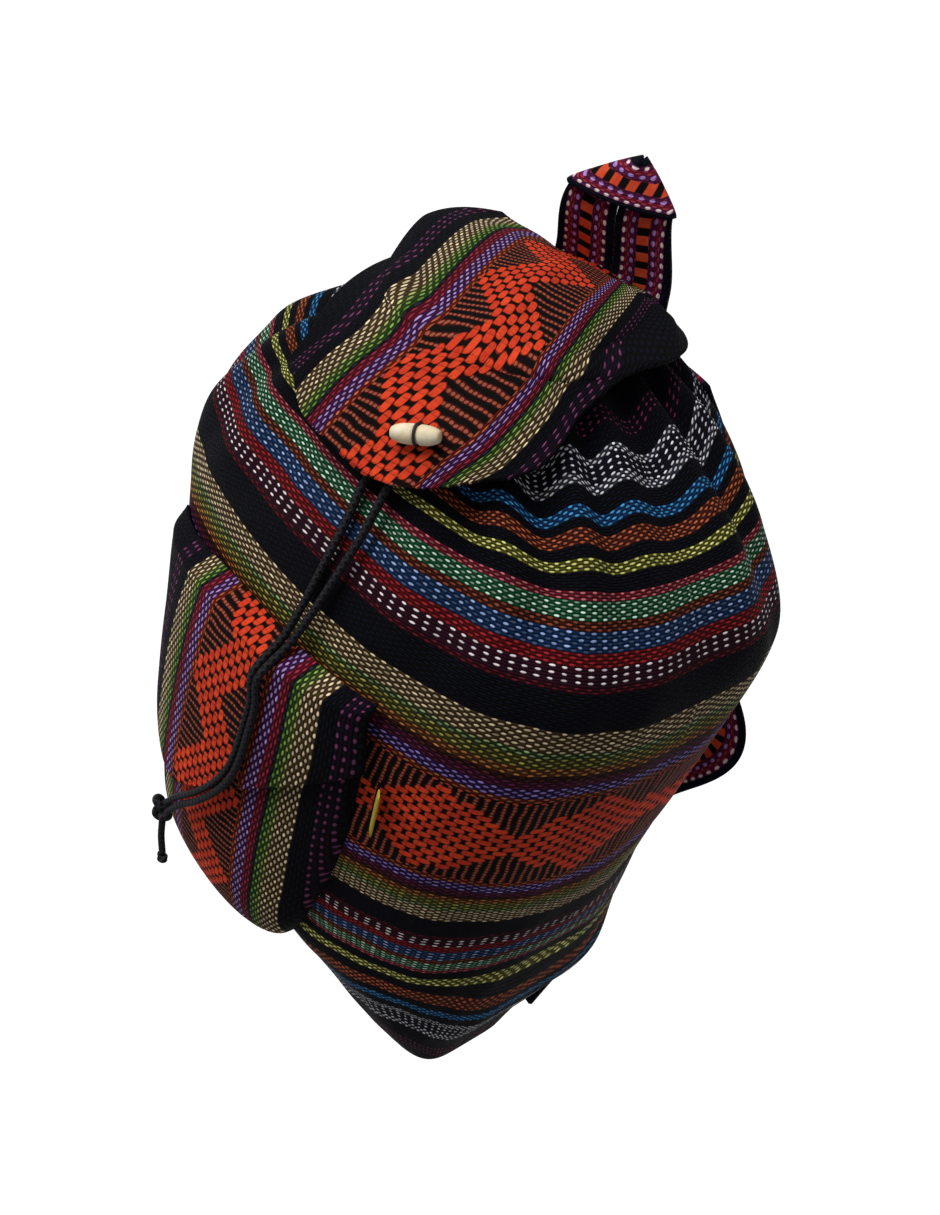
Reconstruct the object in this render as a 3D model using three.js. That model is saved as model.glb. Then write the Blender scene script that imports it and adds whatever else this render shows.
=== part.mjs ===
// Woven drawstring backpack: a stuffed striped cloth sack with a flap, a front pocket and webbing straps.
// Millimetres, +Z up. The bag hangs by its top loop, its front faces -Y and the origin is inside the loop's bend.
import * as THREE from "three";

// Cloth and clearances
const CLOTH = 2.4;
const GAP = 0.3;

// Sack
const BODY_WIDTH = 276;
const BODY_DEPTH = 218;
const BODY_HEIGHT = 362;
const FOLD_DEPTH = 9;

// Main flap, its two halves beside its middle line
const FLAP_LEFT = 69;
const FLAP_RIGHT = 51;
const FLAP_LENGTH = 170;
const FLAP_CORNER = 46;

// Front pocket and its flap
const POCKET_WIDTH = 141;
const POCKET_HEIGHT = 184;
const POCKET_DEPTH = 21;
const POCKET_BOTTOM = 58;
const POCKET_DROOP = 17;
const POCKET_FLAP_LENGTH = 116;
const POCKET_FLAP_EASE = 3.2;

// Webbing
const STRAP_WIDTH = 29;
const STRAP_THICKNESS = 2.2;
const LOOP_HEIGHT = 52;
const LOOP_SPREAD = 52;
const ANCHOR_WIDTH = 38;
const ANCHOR_THICKNESS = 5;

// Toggle, cords and tag
const TOGGLE_LENGTH = 19;
const TOGGLE_DIAMETER = 7.6;
const THREAD_DIAMETER = 1.1;
const CORD_DIAMETER = 4;
const KNOT_CORD_DIAMETER = 3.5;
const KNOT_SIZE = 15;
const TAIL_LENGTH = 19;
const TAIL_KNOT_DIAMETER = 7;
const TAG_LENGTH = 24;
const TAG_REACH = 11;
const TAG_THICKNESS = 1.2;

// Smooth value of one column of a table, by monotone cubic pieces between its rows.
function curve(rows, key, column, at) {
  const last = rows.length - 1;
  const x = Math.min(Math.max(at, rows[0][key]), rows[last][key]);
  let i = 0;
  while (i < last - 1 && x > rows[i + 1][key]) i += 1;
  const step = (k) => rows[k + 1][key] - rows[k][key];
  const slope = (k) => (rows[k + 1][column] - rows[k][column]) / step(k);
  const tangent = (k) => {
    if (k === 0) return slope(0);
    if (k === last) return slope(last - 1);
    const before = slope(k - 1);
    const after = slope(k);
    return before * after > 0 ? (2 * before * after) / (before + after) : 0;
  };
  const h = step(i);
  const t = (x - rows[i][key]) / h;
  const a = rows[i][column];
  const b = rows[i + 1][column];
  const rise = t * t * (3 - 2 * t);
  return a + (b - a) * rise + h * t * (1 - t) * ((1 - t) * tangent(i) - t * tangent(i + 1));
}

// Closed body between two grids of points, outer[row][column] and inner[row][column].
// A wrapped grid joins its last column to its first; a floor point closes the first row of a wrapped grid.
function shell(outer, inner, wrap, floors) {
  const rows = outer.length;
  const columns = outer[0].length;
  const points = [...outer.flat(), ...inner.flat()];
  const index = [];
  const id = (side, i, j) => side * rows * columns + i * columns + (j % columns);
  const quad = (a, b, c, d) => index.push(a, b, c, a, c, d);
  const spans = wrap ? columns : columns - 1;
  for (let i = 0; i < rows - 1; i += 1) {
    for (let j = 0; j < spans; j += 1) {
      quad(id(0, i, j), id(0, i, j + 1), id(0, i + 1, j + 1), id(0, i + 1, j));
      quad(id(1, i, j + 1), id(1, i, j), id(1, i + 1, j), id(1, i + 1, j + 1));
    }
  }
  for (let j = 0; j < spans; j += 1) {
    quad(id(0, rows - 1, j), id(0, rows - 1, j + 1), id(1, rows - 1, j + 1), id(1, rows - 1, j));
    if (floors) {
      index.push(id(0, 0, j + 1), id(0, 0, j), points.length);
      index.push(id(1, 0, j), id(1, 0, j + 1), points.length + 1);
    } else {
      quad(id(0, 0, j + 1), id(0, 0, j), id(1, 0, j), id(1, 0, j + 1));
    }
  }
  if (floors) points.push(...floors);
  if (!wrap) {
    for (let i = 0; i < rows - 1; i += 1) {
      quad(id(0, i, 0), id(0, i + 1, 0), id(1, i + 1, 0), id(1, i, 0));
      quad(id(0, i + 1, columns - 1), id(0, i, columns - 1), id(1, i, columns - 1), id(1, i + 1, columns - 1));
    }
  }
  const geometry = new THREE.BufferGeometry().setFromPoints(points);
  geometry.setIndex(index);
  geometry.computeVertexNormals();
  return geometry;
}

// Grid of points from a function of two shares, the row's and the column's.
function grid(rows, columns, point) {
  const line = (i) => Array.from({ length: columns }, (_, j) => point(i / (rows - 1), j / (columns - 1)));
  return Array.from({ length: rows }, (_, i) => line(i));
}

// Sheet of even thickness under a surface; the outside is where its normal points.
function sheet(rows, columns, surface, thickness) {
  const inset = (v, u) => {
    const e = 0.01;
    const across = surface(v, Math.min(u + e, 1)).sub(surface(v, Math.max(u - e, 0)));
    const along = surface(Math.min(v + e, 1), u).sub(surface(Math.max(v - e, 0), u));
    return surface(v, u).addScaledVector(across.cross(along).normalize(), -thickness);
  };
  return shell(grid(rows, columns, surface), grid(rows, columns, inset), false);
}

const bag = new THREE.Group();
const group = new THREE.Group();
group.add(bag);

function add(name, geometry, finish) {
  const mesh = new THREE.Mesh(geometry, new THREE.MeshStandardMaterial({ metalness: 0, ...finish }));
  mesh.name = name;
  bag.add(mesh);
  return mesh;
}

const BODY_CLOTH = { color: 0x1d1b33, roughness: 0.92 };
const FLAP_CLOTH = { color: 0x7c2a22, roughness: 0.92 };
const WEBBING = { color: 0x3a1f3a, roughness: 0.9 };
const BLACK_CORD = { color: 0x101010, roughness: 0.85 };
const WOOD = { color: 0xe6d3ac, roughness: 0.45 };
const DARK_THREAD = { color: 0x1b1714, roughness: 0.8 };
const TAG_RIBBON = { color: 0xb9a032, roughness: 0.8 };

// Sections of the sack from its bottom seam to its mouth. up is a share of the height, wide of half the
// width, deep of half the depth, back of the depth; square is 2 for an ellipse and more for a boxier section.
const BODY_SECTIONS = [
  { up: 0.0, wide: 0.775, deep: 0.33, back: -0.11, square: 5.2 },
  { up: 0.064, wide: 0.8, deep: 0.5, back: -0.097, square: 4.3 },
  { up: 0.133, wide: 0.845, deep: 0.66, back: -0.083, square: 3.4 },
  { up: 0.243, wide: 0.872, deep: 0.885, back: -0.062, square: 2.8 },
  { up: 0.395, wide: 0.913, deep: 0.98, back: -0.037, square: 2.2 },
  { up: 0.575, wide: 0.957, deep: 1.0, back: -0.026, square: 2.4 },
  { up: 0.74, wide: 1.0, deep: 0.96, back: -0.018, square: 2.6 },
  { up: 0.856, wide: 0.86, deep: 0.81, back: -0.012, square: 2.6 },
  { up: 0.939, wide: 0.6, deep: 0.67, back: -0.007, square: 2.5 },
  { up: 1.0, wide: 0.33, deep: 0.46, back: -0.004, square: 2.3 },
];

// Folds that the draw cord gathers at the mouth. turn is the place round the sack from its right side
// towards its front, spread the half width of the fold, both in degrees; depth is a share of FOLD_DEPTH.
const FOLDS = [
  { turn: -2, spread: 7, depth: 0.7 },
  { turn: 17, spread: 6, depth: 0.55 },
  { turn: 37, spread: 8, depth: 1.0 },
  { turn: 58, spread: 7, depth: 0.8 },
  { turn: 78, spread: 6, depth: 0.6 },
  { turn: 99, spread: 8, depth: 0.9 },
  { turn: 121, spread: 7, depth: 0.7 },
  { turn: 143, spread: 8, depth: 0.9 },
  { turn: 166, spread: 7, depth: 0.7 },
  { turn: 190, spread: 8, depth: 0.85 },
  { turn: 212, spread: 8, depth: 0.75 },
  { turn: 232, spread: 7, depth: 0.7 },
  { turn: 252, spread: 8, depth: 0.85 },
  { turn: 270, spread: 6, depth: 0.6 },
  { turn: 288, spread: 8, depth: 0.85 },
  { turn: 312, spread: 8, depth: 0.75 },
  { turn: 336, spread: 7, depth: 0.85 },
];
const FOLDS_START = 0.72;

function section(z) {
  const up = z / BODY_HEIGHT;
  const read = (column) => curve(BODY_SECTIONS, "up", column, up);
  return {
    a: (read("wide") * BODY_WIDTH) / 2,
    b: (read("deep") * BODY_DEPTH) / 2,
    y: read("back") * BODY_DEPTH,
    n: read("square"),
  };
}

// Point of the smooth sack. The angle runs from its right side towards its front.
function bodyPoint(angle, z) {
  const { a, b, y, n } = section(z);
  const c = Math.cos(angle);
  const s = Math.sin(angle);
  const power = (value) => Math.sign(value) * Math.abs(value) ** (2 / n);
  return new THREE.Vector3(a * power(c), y - b * power(s), z);
}

function bodyNormal(angle, z) {
  const e = 0.02;
  const around = bodyPoint(angle + e, z).sub(bodyPoint(angle - e, z));
  const low = Math.max(z - 1, 0);
  const high = Math.min(z + 1, BODY_HEIGHT);
  const upward = bodyPoint(angle, high).sub(bodyPoint(angle, low));
  return upward.cross(around).normalize();
}

function foldDepth(angle, z) {
  const rise = THREE.MathUtils.smoothstep(z / BODY_HEIGHT, FOLDS_START, 0.97);
  const degrees = THREE.MathUtils.radToDeg(angle);
  const one = ({ turn, spread, depth }) => {
    const away = THREE.MathUtils.euclideanModulo(degrees - turn + 180, 360) - 180;
    return depth * Math.exp(-((away / spread) ** 2));
  };
  return rise * FOLD_DEPTH * FOLDS.reduce((sum, fold) => sum + one(fold), 0);
}

// Where the front of the sack lies at a place across and a height.
function bodyFront(x, z) {
  const { a, b, y, n } = section(z);
  const share = Math.min(Math.abs(x / a), 0.995);
  return y - b * (1 - share ** n) ** (1 / n);
}

// Moves a point level and outwards until it is clear of the sack; above the mouth the move fades out.
const RIM_FADE = 1.4;
function clearOfBody(point, clearance) {
  const { a, b, y, n } = section(Math.min(point.z, BODY_HEIGHT));
  const dx = Math.abs(point.x) / (a + clearance);
  const dy = Math.abs(point.y - y) / (b + clearance);
  const size = (dx ** n + dy ** n) ** (1 / n);
  if (size >= 1) return point;
  const kept = THREE.MathUtils.smoothstep(point.z, BODY_HEIGHT, BODY_HEIGHT + RIM_FADE);
  const scale = kept + (1 - kept) / Math.max(size, 0.05);
  return new THREE.Vector3(point.x * scale, y + (point.y - y) * scale, point.z);
}

const BODY_ROWS = 20;
const BODY_COLUMNS = 66;
const bodyHeight = (i) => BODY_HEIGHT * (i / (BODY_ROWS - 1)) ** 0.94;
const bodyAngle = (j) => (-2 * Math.PI * j) / BODY_COLUMNS;
const bodyRing = (z, inset) =>
  Array.from({ length: BODY_COLUMNS }, (_, j) => {
    const angle = bodyAngle(j);
    const depth = foldDepth(angle, z) + inset;
    return bodyPoint(angle, z).addScaledVector(bodyNormal(angle, z), -depth);
  });
const outerRings = Array.from({ length: BODY_ROWS }, (_, i) => bodyRing(bodyHeight(i), 0));
const innerRings = Array.from({ length: BODY_ROWS }, (_, i) => {
  const ring = bodyRing(Math.max(bodyHeight(i), CLOTH), CLOTH);
  if (i === 0) ring.forEach((point) => point.setZ(CLOTH));
  if (i === BODY_ROWS - 1) ring.forEach((point, j) => point.setZ(outerRings[i][j].z));
  return ring;
});
outerRings[0].forEach((point) => point.setZ(0));
const floorY = section(0).y;
add(
  "bag_body",
  shell(outerRings, innerRings, true, [new THREE.Vector3(0, floorY, 0), new THREE.Vector3(0, floorY, CLOTH)]),
  BODY_CLOTH,
);

// Main flap: it is sewn behind the mouth, lies over it and hangs down the front. along is a share of its
// length. x is a share of half the body's width, y of half its depth and z of its height, for its middle
// line. turn is the direction of its right half, slopes and bends how its halves fall away, in degrees.
const FLAP_LINE = [
  { along: 0.0, x: -0.19, y: 0.4, z: 1.0042, turn: 0, leftSlope: 0, leftBend: 0, rightSlope: 0, rightBend: 0 },
  { along: 0.14, x: -0.12, y: 0.26, z: 1.026, turn: 20, leftSlope: 0, leftBend: 26, rightSlope: 0, rightBend: 60 },
  { along: 0.42, x: 0.04, y: -0.08, z: 1.042, turn: 27, leftSlope: 8, leftBend: 45, rightSlope: 4, rightBend: 105 },
  { along: 0.62, x: 0.145, y: -0.34, z: 1.026, turn: 24, leftSlope: 10, leftBend: 55, rightSlope: 8, rightBend: 130 },
  { along: 0.72, x: 0.18, y: -0.46, z: 1.0, turn: 20, leftSlope: 12, leftBend: 45, rightSlope: 8, rightBend: 100 },
  { along: 0.83, x: 0.175, y: -0.57, z: 0.963, turn: 15, leftSlope: 10, leftBend: 20, rightSlope: 6, rightBend: 55 },
  { along: 0.92, x: 0.165, y: -0.67, z: 0.926, turn: 11, leftSlope: 4, leftBend: 0, rightSlope: 0, rightBend: 20 },
  { along: 1.0, x: 0.15, y: -0.74, z: 0.889, turn: 9, leftSlope: 0, leftBend: -10, rightSlope: -4, rightBend: 0 },
];
const FLAP_CLEARANCE = CLOTH + CORD_DIAMETER + 6 * GAP;
const FLAP_SECTION_STEPS = 10;

// Point of the flap's upper face: across runs from -1 at its left edge to 1 at its right edge.
function flapPoint(along, across) {
  const read = (column) => curve(FLAP_LINE, "along", column, along);
  const side = across < 0 ? "left" : "right";
  const width = across < 0 ? FLAP_LEFT : FLAP_RIGHT;
  const slope = THREE.MathUtils.degToRad(read(`${side}Slope`));
  const bend = THREE.MathUtils.degToRad(read(`${side}Bend`));
  const turn = THREE.MathUtils.degToRad(read("turn"));
  let out = 0;
  let drop = 0;
  for (let k = 0; k < FLAP_SECTION_STEPS; k += 1) {
    const share = (Math.abs(across) * (k + 0.5)) / FLAP_SECTION_STEPS;
    const angle = slope + bend * share ** 3;
    out += Math.cos(angle);
    drop += Math.sin(angle);
  }
  const step = (Math.abs(across) / FLAP_SECTION_STEPS) * width;
  const level = Math.sign(across) * out * step;
  const point = new THREE.Vector3(
    (read("x") * BODY_WIDTH) / 2 + level * Math.cos(turn),
    (read("y") * BODY_DEPTH) / 2 + level * Math.sin(turn),
    read("z") * BODY_HEIGHT - drop * step,
  );
  return clearOfBody(point, FLAP_CLEARANCE);
}

// Half the width that is left where the end's corners are rounded off, as a share.
function roundedEnd(along, length, half, corner) {
  const past = along * length - (length - corner);
  if (past <= 0) return 1;
  const reach = Math.sqrt(Math.max(corner * corner - past * past, 0));
  return Math.max((half - corner + reach) / half, 0.04);
}

const flapSurface = (v, u) => {
  const across = 2 * u - 1;
  const half = across < 0 ? FLAP_LEFT : FLAP_RIGHT;
  return flapPoint(v, across * roundedEnd(v, FLAP_LENGTH, half, FLAP_CORNER));
};
add("main_flap", sheet(21, 17, flapSurface, CLOTH), FLAP_CLOTH);

// Front pocket: a pouch sewn to the sack along its sides and bottom and open at its top, under its flap.
// down is a share of its height, half of half its width, bulge of its depth.
const POCKET_SECTIONS = [
  { down: 0.0, half: 0.95, bulge: 0.5 },
  { down: 0.15, half: 1.0, bulge: 0.66 },
  { down: 0.35, half: 0.98, bulge: 0.86 },
  { down: 0.55, half: 0.91, bulge: 1.0 },
  { down: 0.72, half: 0.83, bulge: 1.0 },
  { down: 0.86, half: 0.7, bulge: 0.84 },
  { down: 0.95, half: 0.5, bulge: 0.5 },
  { down: 1.0, half: 0.2, bulge: 0.08 },
];
const POCKET_CENTRE = 0;
const POCKET_TOP = POCKET_BOTTOM + POCKET_HEIGHT;
const POCKET_ROUNDING = 0.72;

// Point in front of the sack: it stands off the sack's front by a bulge that fades to rest at its sides.
function pouchPoint(angle, z, half, bulge, rest) {
  const x = POCKET_CENTRE + half * Math.sin(angle);
  const proud = rest + (bulge - rest) * Math.max(Math.cos(angle), 0) ** POCKET_ROUNDING;
  return new THREE.Vector3(x, bodyFront(x, z) - GAP - proud, z);
}

// How far the pocket's top edge sags towards its left end; angle runs across it from -90 to 90 degrees.
function droop(angle, down) {
  return POCKET_DROOP * Math.max(-Math.sin(angle) - 0.15, 0) ** 1.5 * Math.max(1 - down, 0);
}

function pocketPoint(v, u, inset) {
  const down = v;
  const angle = (u - 0.5) * Math.PI;
  const half = (curve(POCKET_SECTIONS, "down", "half", down) * POCKET_WIDTH) / 2 - inset;
  const bulge = Math.max(curve(POCKET_SECTIONS, "down", "bulge", down) * POCKET_DEPTH, CLOTH + 0.6) - inset;
  return pouchPoint(angle, POCKET_TOP - down * POCKET_HEIGHT - droop(angle, down), half, bulge, 0);
}
const pocketOuter = grid(17, 21, (v, u) => pocketPoint(1 - v, u, 0));
const pocketInner = grid(17, 21, (v, u) => pocketPoint(1 - v, u, CLOTH));
add("front_pocket", shell(pocketOuter, pocketInner, false), FLAP_CLOTH);

// Pocket flap: sewn to the sack above the pocket, it lies over the pocket's top and half of its front.
const POCKET_FLAP_RISE = 8;
const POCKET_FLAP_CORNER = 50;
const POCKET_FLAP_STEP = 0.055;
const POCKET_FLAP_REST = CLOTH * 0.6;

function pocketFlapPoint(v, u) {
  const z = POCKET_TOP + POCKET_FLAP_RISE - v * POCKET_FLAP_LENGTH;
  const down = Math.max((POCKET_TOP - z) / POCKET_HEIGHT, 0);
  const out = THREE.MathUtils.smoothstep(v, -0.02, POCKET_FLAP_STEP);
  const half = (curve(POCKET_SECTIONS, "down", "half", down) * POCKET_WIDTH) / 2 + POCKET_FLAP_EASE;
  const bulge = curve(POCKET_SECTIONS, "down", "bulge", down) * POCKET_DEPTH + CLOTH + POCKET_FLAP_EASE;
  const end = roundedEnd(v, POCKET_FLAP_LENGTH, POCKET_WIDTH / 2, POCKET_FLAP_CORNER);
  const angle = (u - 0.5) * Math.PI * 0.93 * end;
  const proud = POCKET_FLAP_REST + (bulge - POCKET_FLAP_REST) * out;
  return pouchPoint(angle, z - droop(angle, down), half + CLOTH, proud, POCKET_FLAP_REST);
}
add("pocket_flap", sheet(15, 17, (v, u) => pocketFlapPoint(1 - v, u), CLOTH), FLAP_CLOTH);

// Flat band along the rows of a table: x, y, z is its middle, turn the way its width points round the
// vertical and dip how far that width leans down, in degrees, and wide a share of the width given.
function band(rows, width, thickness, steps) {
  const path = new THREE.CatmullRomCurve3(rows.map(({ x, y, z }) => new THREE.Vector3(x, y, z)));
  const read = (column, t) => {
    const place = t * (rows.length - 1);
    const k = Math.min(Math.floor(place), rows.length - 2);
    return THREE.MathUtils.lerp(rows[k][column], rows[k + 1][column], place - k);
  };
  const corner = (t, side, face) => {
    const turn = THREE.MathUtils.degToRad(read("turn", t));
    const dip = THREE.MathUtils.degToRad(read("dip", t));
    const tangent = path.getTangent(t);
    const across = new THREE.Vector3(Math.cos(turn) * Math.cos(dip), Math.sin(turn) * Math.cos(dip), -Math.sin(dip));
    across.addScaledVector(tangent, -across.dot(tangent)).normalize();
    const normal = across.clone().cross(tangent);
    const reach = (side * width * read("wide", t)) / 2;
    return path.getPoint(t).addScaledVector(across, reach).addScaledVector(normal, face * thickness);
  };
  const face = (height) => grid(steps + 1, 3, (v, u) => corner(v, 2 * u - 1, height));
  return shell(face(0.5), face(-0.5), false);
}

// Hanging loop: one length of webbing whose two ends are sewn side by side behind the mouth. x and y are
// shares of the loop's spread and up of its height.
const rimBack = section(BODY_HEIGHT).y + section(BODY_HEIGHT).b;
const LOOP_FOOT = new THREE.Vector3(-12, rimBack + 4.6, BODY_HEIGHT - 6);
const LOOP_LINE = [
  { x: -0.3, y: 0.0, up: 0.0, turn: 180, dip: 0 },
  { x: -0.31, y: -0.03, up: 0.28, turn: 198, dip: 0 },
  { x: -0.32, y: -0.12, up: 0.62, turn: 218, dip: 0 },
  { x: -0.22, y: -0.1, up: 0.92, turn: 250, dip: 12 },
  { x: -0.05, y: -0.04, up: 1.02, turn: 298, dip: 26 },
  { x: 0.15, y: 0.03, up: 0.9, turn: 342, dip: 14 },
  { x: 0.26, y: 0.05, up: 0.6, turn: 370, dip: 0 },
  { x: 0.29, y: 0.03, up: 0.27, turn: 368, dip: 0 },
  { x: 0.3, y: 0.0, up: 0.0, turn: 360, dip: 0 },
];
const loopRows = LOOP_LINE.map(({ x, y, up, turn, dip }) => ({
  x: LOOP_FOOT.x + x * LOOP_SPREAD,
  y: LOOP_FOOT.y + y * LOOP_SPREAD,
  z: LOOP_FOOT.z + up * LOOP_HEIGHT,
  turn,
  dip,
  wide: 1,
}));
add("hang_loop", band(loopRows, STRAP_WIDTH, STRAP_THICKNESS, 32), WEBBING);

// Shoulder straps: webbing sewn behind the mouth, hanging in a bow behind the sack down to a tab at each
// bottom corner. x is a share of half the body's width, y of half its depth and z of its height.
const STRAP_LINE = [
  { x: 0.26, y: 0.56, z: 0.95, turn: -6, dip: 0 },
  { x: 0.27, y: 0.83, z: 0.85, turn: -10, dip: 0 },
  { x: 0.38, y: 0.98, z: 0.71, turn: -14, dip: 0 },
  { x: 0.57, y: 1.0, z: 0.56, turn: -10, dip: 0 },
  { x: 0.66, y: 0.94, z: 0.45, turn: -6, dip: 0 },
  { x: 0.63, y: 0.83, z: 0.32, turn: -10, dip: 0 },
  { x: 0.693, y: 0.725, z: 0.196, turn: -14, dip: 0 },
  { x: 0.68, y: 0.53, z: 0.125, turn: -14, dip: 0 },
];
const ANCHOR_LINE = [
  { x: 0.68, y: 0.53, z: 0.125, turn: -14, dip: 0, wide: 0.8 },
  { x: 0.67, y: 0.37, z: 0.068, turn: -14, dip: 0, wide: 0.9 },
  { x: 0.655, y: 0.25, z: 0.015, turn: -14, dip: 0, wide: 1.0 },
];
function strapRows(rows, side, shift) {
  return rows.map(({ x, y, z, turn, dip, wide = 1 }) => ({
    x: (side * x * BODY_WIDTH) / 2,
    y: (y * BODY_DEPTH) / 2,
    z: z * BODY_HEIGHT + shift,
    turn: side > 0 ? turn : 180 - turn,
    dip,
    wide,
  }));
}
for (const [side, name] of [[1, "right"], [-1, "left"]]) {
  add(`shoulder_strap_${name}`, band(strapRows(STRAP_LINE, side, 3 * GAP), STRAP_WIDTH, STRAP_THICKNESS, 30), WEBBING);
  add(`strap_anchor_${name}`, band(strapRows(ANCHOR_LINE, side, 0), ANCHOR_WIDTH, ANCHOR_THICKNESS, 8), WEBBING);
}

// Toggle: a small wooden barrel sewn on the flap near its tip by dark thread in a shallow groove.
const TOGGLE_ALONG = 0.885;
const TOGGLE_ACROSS = 0.17;
const TOGGLE_TURN = 12;
const THREAD_PLACE = 0.04;
const togglePlace = flapPoint(TOGGLE_ALONG, TOGGLE_ACROSS);
const toggleDown = flapPoint(TOGGLE_ALONG + 0.03, TOGGLE_ACROSS).sub(flapPoint(TOGGLE_ALONG - 0.03, TOGGLE_ACROSS)).normalize();
const toggleSide = flapPoint(TOGGLE_ALONG, TOGGLE_ACROSS + 0.1).sub(flapPoint(TOGGLE_ALONG, TOGGLE_ACROSS - 0.1)).normalize();
const toggleUp = toggleSide.clone().cross(toggleDown).negate().normalize();
const toggleAxis = toggleSide.clone().applyAxisAngle(toggleUp, THREE.MathUtils.degToRad(TOGGLE_TURN));
const toggleCentre = togglePlace.clone().addScaledVector(toggleUp, TOGGLE_DIAMETER / 2 + THREAD_DIAMETER + 7 * GAP);
const toggleFrame = new THREE.Matrix4().makeBasis(toggleAxis.clone().cross(toggleUp), toggleAxis, toggleUp);
toggleFrame.setPosition(toggleCentre);
const GROOVE = THREAD_DIAMETER * 0.6;
const toggleRadius = TOGGLE_DIAMETER / 2;
const toggleHalf = TOGGLE_LENGTH / 2;
const threadHeight = THREAD_PLACE * TOGGLE_LENGTH;
const toggleProfile = [
  [0, -toggleHalf],
  [toggleRadius * 0.55, -toggleHalf],
  [toggleRadius * 0.8, -toggleHalf * 0.9],
  [toggleRadius * 0.94, -toggleHalf * 0.6],
  [toggleRadius, threadHeight - 1.5],
  [toggleRadius - GROOVE, threadHeight - 0.8],
  [toggleRadius - GROOVE, threadHeight + 0.8],
  [toggleRadius, threadHeight + 1.5],
  [toggleRadius * 0.94, toggleHalf * 0.6],
  [toggleRadius * 0.8, toggleHalf * 0.9],
  [toggleRadius * 0.55, toggleHalf],
  [0, toggleHalf],
].map(([x, y]) => new THREE.Vector2(x, y));
add("toggle", new THREE.LatheGeometry(toggleProfile, 20).applyMatrix4(toggleFrame), WOOD);
const threadRing = toggleRadius - GROOVE + GAP + THREAD_DIAMETER / 2;
const thread = new THREE.TorusGeometry(threadRing, THREAD_DIAMETER / 2, 6, 24).rotateX(Math.PI / 2);
add("toggle_thread", thread.translate(0, threadHeight, 0).applyMatrix4(toggleFrame), DARK_THREAD);

// Draw cords: two cords leave the mouth under the flap, hang down the front over the pocket's flap and end
// in one knot. x and z place the pair's middle and lift how far it stands off what it hangs over.
const CORD_LINE = [
  { x: 26, z: 343, lift: 0.4 },
  { x: 27, z: 334, lift: 0.7 },
  { x: 28, z: 324, lift: 0.7 },
  { x: 29, z: 313, lift: 0.8 },
  { x: 30.5, z: 301, lift: 0.8 },
  { x: 31, z: 288, lift: 0.8 },
  { x: 30.5, z: 275, lift: 1 },
  { x: 29.5, z: 263, lift: 3.2 },
  { x: 28.5, z: 252, lift: 7 },
  { x: 29.5, z: 240, lift: 2.4 },
  { x: 31, z: 227, lift: 0.8 },
  { x: 31.5, z: 213, lift: 0.8 },
  { x: 31, z: 199, lift: 0.8 },
  { x: 28.5, z: 186, lift: 0.8 },
  { x: 22.5, z: 173, lift: 0.8 },
  { x: 13, z: 159, lift: 0.8 },
  { x: 2, z: 146, lift: 0.8 },
  { x: -7, z: 133, lift: 0.8 },
];
const CORD_SPACING = CORD_DIAMETER + 3 * GAP;

// Where the pocket's flap lies at a place across and a height, or the sack where the flap doesn't reach.
function frontOf(x, z) {
  const v = (POCKET_TOP + POCKET_FLAP_RISE - z) / POCKET_FLAP_LENGTH;
  if (v < 0) return bodyFront(x, z);
  return pocketFlapPoint(Math.min(v, 0.9), 0.5 + (Math.asin(x / POCKET_WIDTH * 2) / Math.PI)).y;
}

function tube(points, diameter, sides, steps) {
  const circle = new THREE.Shape().absarc(0, 0, diameter / 2, 0, 2 * Math.PI, false);
  const path = new THREE.CatmullRomCurve3(points);
  return new THREE.ExtrudeGeometry(circle, { curveSegments: sides / 2, steps, extrudePath: path, bevelEnabled: false });
}

const cordMiddle = CORD_LINE.map(({ x, z, lift }) => {
  return new THREE.Vector3(x, frontOf(x, z) - CORD_DIAMETER / 2 - lift, z);
});
function cordPoints(side) {
  return cordMiddle.map((point, i) => {
    const next = cordMiddle[Math.min(i + 1, cordMiddle.length - 1)];
    const last = cordMiddle[Math.max(i - 1, 0)];
    const along = next.clone().sub(last).setY(0).normalize();
    const beside = new THREE.Vector3(-along.z, 0, along.x);
    return point.clone().addScaledVector(beside, (side * CORD_SPACING) / 2);
  });
}
add("cord_left", tube(cordPoints(1), CORD_DIAMETER, 8, 44), BLACK_CORD);
add("cord_right", tube(cordPoints(-1), CORD_DIAMETER, 8, 44), BLACK_CORD);

// Knot that both cords end in: one cord's overhand knot, drawn as a closed trefoil of the same cord.
const cordEnd = cordMiddle[cordMiddle.length - 1];
const cordRun = cordEnd.clone().sub(cordMiddle[cordMiddle.length - 2]).normalize();
const knotCentre = cordEnd.clone().addScaledVector(cordRun, KNOT_SIZE / 2 + GAP);
const knotScale = (KNOT_SIZE - KNOT_CORD_DIAMETER) / 6;
const KNOT_POINTS = 36;
const knotPoints = Array.from({ length: KNOT_POINTS }, (_, i) => {
  const t = (i / KNOT_POINTS) * 2 * Math.PI;
  const across = Math.sin(t) + 2 * Math.sin(2 * t);
  const up = Math.cos(t) - 2 * Math.cos(2 * t);
  return new THREE.Vector3(across, -Math.sin(3 * t) * 1.05, up).multiplyScalar(knotScale).add(knotCentre);
});
const knotPath = new THREE.CatmullRomCurve3(knotPoints, true);
add("cord_knot", new THREE.TubeGeometry(knotPath, 60, KNOT_CORD_DIAMETER / 2, 8, true), BLACK_CORD);

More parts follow.
